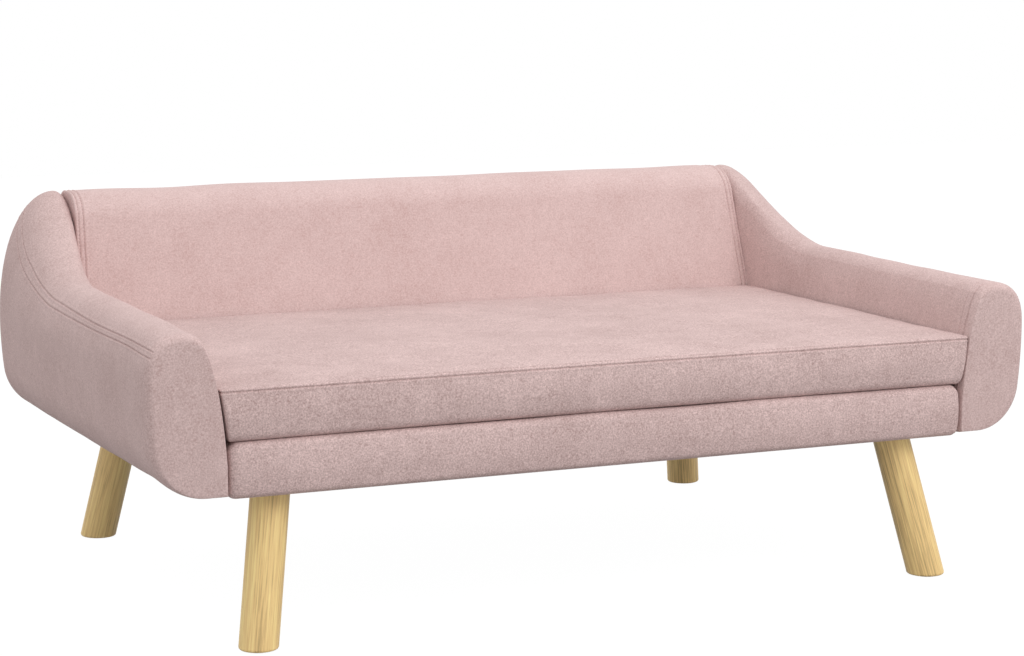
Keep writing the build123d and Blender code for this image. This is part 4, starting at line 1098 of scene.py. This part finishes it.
def tinted(tint, factor):
    """A colour made lighter or darker."""
    return tuple(min(1, channel * factor) for channel in tint)


def velvet_material(name, finishes, grain, painted_lightness):
    """Short-pile brushed cloth: clouds and fine speckles in its colour, faint upright streaks where
    the pile was brushed, a fine bump and a soft sheen. Grain is how strong the speckles are. The
    last factor makes the whole colour lighter or darker as painted light or painted shade, so that
    each piece gets its own lit or shaded copy of the one cloth."""
    cloth = Recipe(name)
    clouds = cloth.noise(13, detail=3, roughness=0.5)
    blotches = cloth.noise(70, detail=4, roughness=0.6)
    speckles = cloth.noise(600, detail=2, roughness=0.55)
    fibres = cloth.noise(1700, detail=2, roughness=0.6)
    streaks = cloth.noise(1, detail=4, roughness=0.6, place=cloth.mapped((210, 210, 16)))
    weights = (clouds, 0.14), (blotches, 0.10), (speckles, 0.50), (fibres, 0.18), (streaks, 0.08)
    mixed = cloth.sum(*weights)
    # The piece's factor scales the cloth's colour: painted light above 1, painted shade below 1.
    tint, depth = tinted(finishes.velvet, painted_lightness), finishes.velvet_mottle * grain
    hollow = tinted(tint, 1 - HOLLOW_SHARE * depth)
    dark = [channel * part for channel, part in zip(hollow, HOLLOW_WARMTH)]
    light = tinted(tint, 1 + TIP_SHARE * depth)
    cloth.paint(cloth.ramp(mixed, (0.36, dark), (0.5, tint), (0.64, light)))
    cloth.roughen(blotches, 0.82, 0.98)
    cloth.bump(cloth.sum((speckles, 0.5), (fibres, 0.3), (streaks, 0.2)), 0.0008, 0.5 * grain)
    cloth.set(Sheen_Weight=0.1, Sheen_Roughness=0.45, Specular_IOR_Level=0.1)
    cloth.shader.inputs["Sheen Tint"].default_value = SHEEN_TINT
    return cloth.material


def thread_material(finishes):
    """Twisted sewing thread: fine bands along its colour and bump."""
    thread = Recipe("seam_thread")
    twist = thread.noise(2600, detail=2, roughness=0.6)
    dark, light = tinted(finishes.thread, 0.8), tinted(finishes.thread, 1.25)
    thread.paint(thread.ramp(twist, (0.35, dark), (0.65, light)))
    thread.bump(twist, 0.0002, 0.6)
    thread.set(Roughness=0.75, Sheen_Weight=0.2)
    return thread.material


def wood_material(name, tint, turn=(0, 0, 0), contrast=0.2, grain=(300, 300, 9), polish=0.5):
    """Wood with long pores and soft growth bands that run along Z once the place is turned."""
    wood = Recipe(name)
    pores = wood.noise(1, detail=5, roughness=0.62, place=wood.mapped(grain, turn))
    growth = wood.mapped((62, 62, 2.6), turn)
    bands = wood.noise(1, detail=3, roughness=0.5, place=growth, distortion=0.6)
    clouds = wood.noise(1, detail=2, roughness=0.5, place=wood.mapped((14, 14, 5), turn))
    mixed = wood.sum((pores, 0.6), (bands, 0.27), (clouds, 0.13))
    dark, light = tinted(tint, 1 - contrast), tinted(tint, 1 + 0.7 * contrast)
    wood.paint(wood.ramp(mixed, (0.36, dark), (0.5, tuple(tint)), (0.64, light)))
    wood.roughen(pores, polish - 0.08, polish + 0.12)
    wood.bump(wood.sum((pores, 0.7), (bands, 0.3)), 0.0005, 0.5)
    wood.set(Specular_IOR_Level=0.4)
    return wood.material


def metal_material(name, tint, rough):
    """Plated metal with fine brushed scratches and slight clouding."""
    metal = Recipe(name)
    scratches = metal.noise(1, detail=3, roughness=0.6, place=metal.mapped((900, 90, 900)))
    clouds = metal.noise(60, detail=2, roughness=0.5)
    mixed = metal.sum((scratches, 0.5), (clouds, 0.5))
    metal.paint(metal.ramp(mixed, (0.3, tinted(tint, 0.86)), (0.7, tinted(tint, 1.1))))
    metal.roughen(scratches, rough - 0.08, rough + 0.12)
    metal.bump(scratches, 0.0001, 0.3)
    metal.set(Metallic=1)
    return metal.material


def woven_material(name, tint, threads, depth):
    """Plain woven cloth: two crossing sets of threads made by sine waves, and a little noise."""
    cloth = Recipe(name)
    waves = []
    for direction in ("X", "Z"):
        node = cloth.nodes.new("ShaderNodeTexWave")
        node.bands_direction = direction
        node.inputs["Scale"].default_value = threads
        node.inputs["Distortion"].default_value = 0.4
        cloth.links.new(cloth.place, node.inputs["Vector"])
        waves.append(node.outputs["Fac"])
    fuzz = cloth.noise(900, detail=3, roughness=0.6)
    mixed = cloth.sum((waves[0], 0.35), (waves[1], 0.35), (fuzz, 0.3))
    cloth.paint(cloth.ramp(mixed, (0.2, tinted(tint, 0.75)), (0.8, tinted(tint, 1.2))))
    cloth.bump(mixed, depth, 0.7)
    cloth.roughen(fuzz, 0.8, 0.95)
    return cloth.material


def felt_material(name, tint):
    """Pressed felt: tangled fibres in its colour and bump."""
    felt = Recipe(name)
    tangle = felt.noise(700, detail=5, roughness=0.7, distortion=1.5)
    felt.paint(felt.ramp(tangle, (0.3, tinted(tint, 0.7)), (0.7, tinted(tint, 1.4))))
    felt.bump(tangle, 0.0005, 0.8)
    felt.roughen(tangle, 0.85, 1)
    return felt.material


def dress(nodes, material):
    """Gives CAD nodes a material in place of their plain one."""
    for name in nodes:
        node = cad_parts[name]
        node.data.materials.clear()
        node.data.materials.append(material)


def velvet(piece, grain, painted_lightness=1):
    """A piece's cloth, made once, with a painted light or shade factor on its colour."""
    name = f"{piece}_velvet"
    finishes = bpy.context.scene.sofa_finishes
    return bpy.data.materials.get(name) or velvet_material(name, finishes, grain, painted_lightness)


def thread():
    """The seams' thread, made once."""
    return bpy.data.materials.get("seam_thread") or thread_material(bpy.context.scene.sofa_finishes)


# Operators

# Width of the camera's sensor, in millimetres
SENSOR_WIDTH = 36

# How many squares the floor has along a side
FLOOR_CELLS = 8

# How far a leg's foot stands out from its head, across and in depth
LEG_SPREAD = (0.0278, 0.0369)

# How far each leg's grain is turned about its length, by its side and by its end, in radians
LEG_GRAIN_TURNS = (0.7, 1.9)


class SofaOperator:
    """What every maker of a piece shares."""

    bl_options = {"REGISTER", "UNDO"}


class AddStudio(SofaOperator, bpy.types.Operator):
    """Adds the camera, the lamps, the pale floor and the white surroundings."""

    bl_idname = "dog_sofa.add_studio"
    bl_label = "Add studio"

    def execute(self, context):
        studio = context.scene.sofa_studio
        self.add_camera(context, studio)
        self.add_lamps(context, studio)
        self.add_surroundings(context, studio)
        self.add_floor(context, studio)
        context.scene.view_settings.view_transform = "Standard"
        return {"FINISHED"}

    def add_camera(self, context, studio):
        """The camera, turned from straight ahead along +Y."""
        lens = bpy.data.cameras.new("studio_camera")
        lens.sensor_width = SENSOR_WIDTH
        lens.lens = studio.focal_pixels / studio.image_width * lens.sensor_width
        camera = bpy.data.objects.new("studio_camera", lens)
        camera.location = studio.camera_place
        camera.rotation_euler = (math.pi / 2 - studio.dip, 0, -studio.turn)
        context.scene.collection.objects.link(camera)
        context.scene.camera = camera

    def add_lamps(self, context, studio):
        """Two large round lamps that face the sofa."""
        lamps = {
            "top_lamp": (studio.top_lamp, studio.top_lamp_width, studio.top_lamp_place),
            "side_lamp": (studio.side_lamp, studio.side_lamp_width, studio.side_lamp_place),
        }
        for name, (power, size, place) in lamps.items():
            lamp = bpy.data.lights.new(name, "AREA")
            lamp.energy = power
            lamp.shape = "DISK"
            lamp.size = size
            holder = bpy.data.objects.new(name, lamp)
            towards = -Vector(place) + Vector((0, 0, studio.aim_height))
            holder.location = place
            holder.rotation_euler = towards.to_track_quat("-Z", "Y").to_euler()
            context.scene.collection.objects.link(holder)

    def add_surroundings(self, context, studio):
        """Even light from all round, which the camera sees as white."""
        world = bpy.data.worlds.new("white_room")
        context.scene.world = world
        world.use_nodes = True
        nodes, links = world.node_tree.nodes, world.node_tree.links
        lit = nodes["Background"]
        lit.inputs["Color"].default_value = (1, 1, 1, 1)
        lit.inputs["Strength"].default_value = studio.ambient
        seen = nodes.new("ShaderNodeBackground")
        seen.inputs["Color"].default_value = (1, 1, 1, 1)
        seen.inputs["Strength"].default_value = 1
        mix = nodes.new("ShaderNodeMixShader")
        links.new(self.seen_rays(nodes, links), mix.inputs["Fac"])
        links.new(lit.outputs[0], mix.inputs[1])
        links.new(seen.outputs[0], mix.inputs[2])
        links.new(mix.outputs[0], nodes["World Output"].inputs["Surface"])

    def seen_rays(self, nodes, links):
        """1 on a ray from the camera, off a glossy surface or through glass, and otherwise 0."""
        path = nodes.new("ShaderNodeLightPath")
        total = path.outputs["Is Camera Ray"]
        for name in ("Is Glossy Ray", "Is Transmission Ray"):
            both = nodes.new("ShaderNodeMath")
            both.operation = "MAXIMUM"
            links.new(total, both.inputs[0])
            links.new(path.outputs[name], both.inputs[1])
            total = both.outputs[0]
        return total

    def add_floor(self, context, studio):
        """A wide square floor, level with the feet, as a grid of squares."""
        corners, cells = FLOOR_CELLS + 1, np.arange(FLOOR_CELLS)
        edge = np.linspace(-studio.floor_reach, studio.floor_reach, corners)
        x, y = np.meshgrid(edge, edge, indexing="ij")
        points = np.stack([x, y, np.zeros_like(x)], axis=-1).reshape(-1, 3)
        row, column = np.meshgrid(cells, cells, indexing="ij")
        first = row * corners + column
        steps = (0, corners, corners + 1, 1)
        faces = np.stack([first + step for step in steps], axis=-1).reshape(-1, 4)
        mesh = bpy.data.meshes.new("studio_floor")
        mesh.from_pydata(points.tolist(), [], faces.tolist())
        floor = bpy.data.objects.new("studio_floor", mesh)
        context.scene.collection.objects.link(floor)
        mesh.materials.append(self.paper_material(studio))

    def paper_material(self, studio):
        """Plain paper that glows towards the camera, so that it's white and keeps a faint shadow."""
        paper = Recipe("studio_paper")
        paper.shader.inputs["Base Color"].default_value = (*studio.floor_colour, 1)
        paper.set(Roughness=0.9, Specular_IOR_Level=0.1)
        glow = paper.nodes.new("ShaderNodeEmission")
        glow.inputs["Strength"].default_value = studio.floor_glow
        weight = paper.nodes.new("ShaderNodeMath")
        weight.operation = "MULTIPLY"
        weight.inputs[1].default_value = studio.glow_share
        mix = paper.nodes.new("ShaderNodeMixShader")
        paper.links.new(self.seen_rays(paper.nodes, paper.links), weight.inputs[0])
        paper.links.new(weight.outputs[0], mix.inputs["Fac"])
        paper.links.new(paper.shader.outputs[0], mix.inputs[1])
        paper.links.new(glow.outputs[0], mix.inputs[2])
        paper.links.new(mix.outputs[0], paper.nodes["Material Output"].inputs["Surface"])
        return paper.material


class AddArms(SofaOperator, bpy.types.Operator):
    """Adds both arms' padded covers, with their seams and stitches."""

    bl_idname = "dog_sofa.add_arms"
    bl_label = "Add arms"

    def execute(self, context):
        arm, seams = context.scene.arm_sizes, context.scene.seam_sizes
        for seed, (side, sign) in enumerate(SIDES.items()):
            grid, columns, first, behind = arm_grid(arm, seams, seed)
            grid = grid * np.array([sign, 1, 1])
            mesh = skin_mesh(f"{side}_arm", grid)
            cover = add_piece(f"{side}_arm", mesh, velvet("arm", grain=0.65), "sofa")
            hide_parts(f"{side}_arm_cover", f"{side}_arm_foam")
            shown = np.flatnonzero(behind > seams.fade) + first
            normals = grid_normals(grid)
            paths = [(grid[shown, column], normals[shown, column]) for column in columns]
            mesh = stitch_mesh(f"{side}_arm_stitches", paths, seams)
            add_piece(f"{side}_arm_stitches", mesh, thread(), "sofa")
        return {"FINISHED"}


class AddBack(SofaOperator, bpy.types.Operator):
    """Adds the padded back's cover between the arms, with two seams at each end."""

    bl_idname = "dog_sofa.add_back"
    bl_label = "Add back"

    def execute(self, context):
        scene = context.scene
        seams = scene.seam_sizes
        grid, distance, first = back_grid(scene.arm_sizes, scene.back_sizes, seams)
        mesh = skin_mesh("padded_back", grid)
        # Painted light: the back's cloth is 8 % lighter, for the light its leaning front catches from
        # above.
        cover = add_piece("padded_back", mesh, velvet("back", grain=0.45, painted_lightness=1.08), "sofa")
        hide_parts("back_cover", "back_foam")
        normals = grid_normals(grid)
        above = sum(BACK_BANDS.values()) - BACK_BANDS["underside"]
        shown = slice(BACK_BANDS["foot"] - STITCH_LEAD_COLUMNS, above)
        paths = []
        for place in (seams.back_seam_first, seams.back_seam_second):
            row = int(np.argmin(np.abs(distance - place))) + first
            for near in (row, len(grid) - 1 - row):
                paths.append((grid[near, shown], normals[near, shown]))
        mesh = stitch_mesh("back_stitches", paths, seams)
        add_piece("back_stitches", mesh, thread(), "sofa")
        return {"FINISHED"}


class AddBase(SofaOperator, bpy.types.Operator):
    """Adds the padded base's cover."""

    bl_idname = "dog_sofa.add_base"
    bl_label = "Add base"

    def execute(self, context):
        grid = base_grid(context.scene.base_sizes, context.scene.seam_sizes)
        mesh = skin_mesh("padded_base", grid)
        cover = add_piece("padded_base", mesh, velvet("base", grain=1), "sofa")
        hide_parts("base_cover", "base_foam")
        return {"FINISHED"}


class AddCushion(SofaOperator, bpy.types.Operator):
    """Adds the loose seat cushion's cover, with its seam, crown and zip opening."""

    bl_idname = "dog_sofa.add_cushion"
    bl_label = "Add cushion"

    def execute(self, context):
        grid = cushion_grid(context.scene.cushion_sizes, context.scene.seam_sizes)
        mesh = skin_mesh("seat_cushion", grid)
        # Painted shade: the seat's cloth is 2 % darker, to dim its brightly lit top.
        cover = add_piece("seat_cushion", mesh, velvet("seat", grain=1, painted_lightness=0.98), "cushion")
        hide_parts("cushion_cover", "cushion_foam")
        return {"FINISHED"}


class FinishWood(SofaOperator, bpy.types.Operator):
    """Gives the oak legs, the timber frame and the plywood boards their wood."""

    bl_idname = "dog_sofa.finish_wood"
    bl_label = "Finish wood"

    def execute(self, context):
        finishes = context.scene.sofa_finishes
        for corner, (across, along) in CORNERS.items():
            low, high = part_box(f"leg_{corner}")
            rise = high.z - low.z
            lean_x = math.atan2(LEG_SPREAD[0], rise) * across
            lean_y = math.atan2(LEG_SPREAD[1], rise) * along
            turn = (-lean_y, lean_x, LEG_GRAIN_TURNS[0] * across + LEG_GRAIN_TURNS[1] * along)
            name, grain = f"oak_{corner}", (560, 560, 17)
            dress([f"leg_{corner}"], wood_material(name, finishes.oak, turn, contrast=0.5, grain=grain))
        dress(TIMBER_NODES, wood_material("timber", finishes.timber, ALONG_X, polish=0.65))
        dress(PLYWOOD_NODES, wood_material("plywood", finishes.plywood, ALONG_X, polish=0.7))
        return {"FINISHED"}


class FinishHardware(SofaOperator, bpy.types.Operator):
    """Gives the plates, bolts, screws, pads, dust cover and zip their finishes."""

    bl_idname = "dog_sofa.finish_hardware"
    bl_label = "Finish hardware"

    def execute(self, context):
        finishes = context.scene.sofa_finishes
        plates = [f"leg_plate_{corner}" for corner in CORNERS]
        # The plates' and screws' metal is painted darker, as shade under the base.
        dress([*plates, *STEEL_NODES], metal_material("shade_darkened_zinc_steel", finishes.steel, rough=0.34))
        dress(["zip_slider", "zip_pull"], metal_material("nickel", finishes.nickel, rough=0.28))
        dust_cloth = finishes.dust_cloth
        zip_cloth, zip_coil = tinted(finishes.velvet, 0.7), tinted(finishes.velvet, 0.6)
        dress(["dust_cover"], woven_material("dust_cloth", dust_cloth, threads=260, depth=0.0003))
        dress(["zip_tape"], woven_material("zip_cloth", zip_cloth, threads=420, depth=0.0002))
        dress(["zip_coil"], woven_material("zip_coil", zip_coil, threads=330, depth=0.0006))
        dress(["foot_pads"], felt_material("felt", finishes.felt))
        return {"FINISHED"}


class SofaPanel(bpy.types.Panel):
    """Lists the sofa's pieces, sizes and finishes."""

    bl_idname = "VIEW3D_PT_dog_sofa"
    bl_label = "Dog Sofa"
    bl_space_type = "VIEW_3D"
    bl_region_type = "UI"
    bl_category = "Dog Sofa"

    def draw(self, context):
        for operator in OPERATORS:
            self.layout.operator(operator.bl_idname)
        for name, group in GROUPS.items():
            box = self.layout.box()
            box.label(text=group.__doc__)
            for field in group.__annotations__:
                box.prop(getattr(context.scene, name), field)


OPERATORS = (AddStudio, AddBase, AddBack, AddArms, AddCushion, FinishWood, FinishHardware)
CLASSES = (*GROUPS.values(), *OPERATORS, SofaPanel)


def register():
    """Makes the sizes, finishes and makers known to Blender."""
    for cls in CLASSES:
        bpy.utils.register_class(cls)
    for name, group in GROUPS.items():
        setattr(bpy.types.Scene, name, bpy.props.PointerProperty(type=group))


def unregister():
    """Takes them away again."""
    for name in GROUPS:
        delattr(bpy.types.Scene, name)
    for cls in reversed(CLASSES):
        bpy.utils.unregister_class(cls)


def main():
    """Makes every piece in order."""
    register()
    bpy.ops.dog_sofa.add_studio()
    bpy.ops.dog_sofa.add_base()
    bpy.ops.dog_sofa.add_back()
    bpy.ops.dog_sofa.add_arms()
    bpy.ops.dog_sofa.add_cushion()
    bpy.ops.dog_sofa.finish_wood()
    bpy.ops.dog_sofa.finish_hardware()


if __name__ == "__main__":
    main()
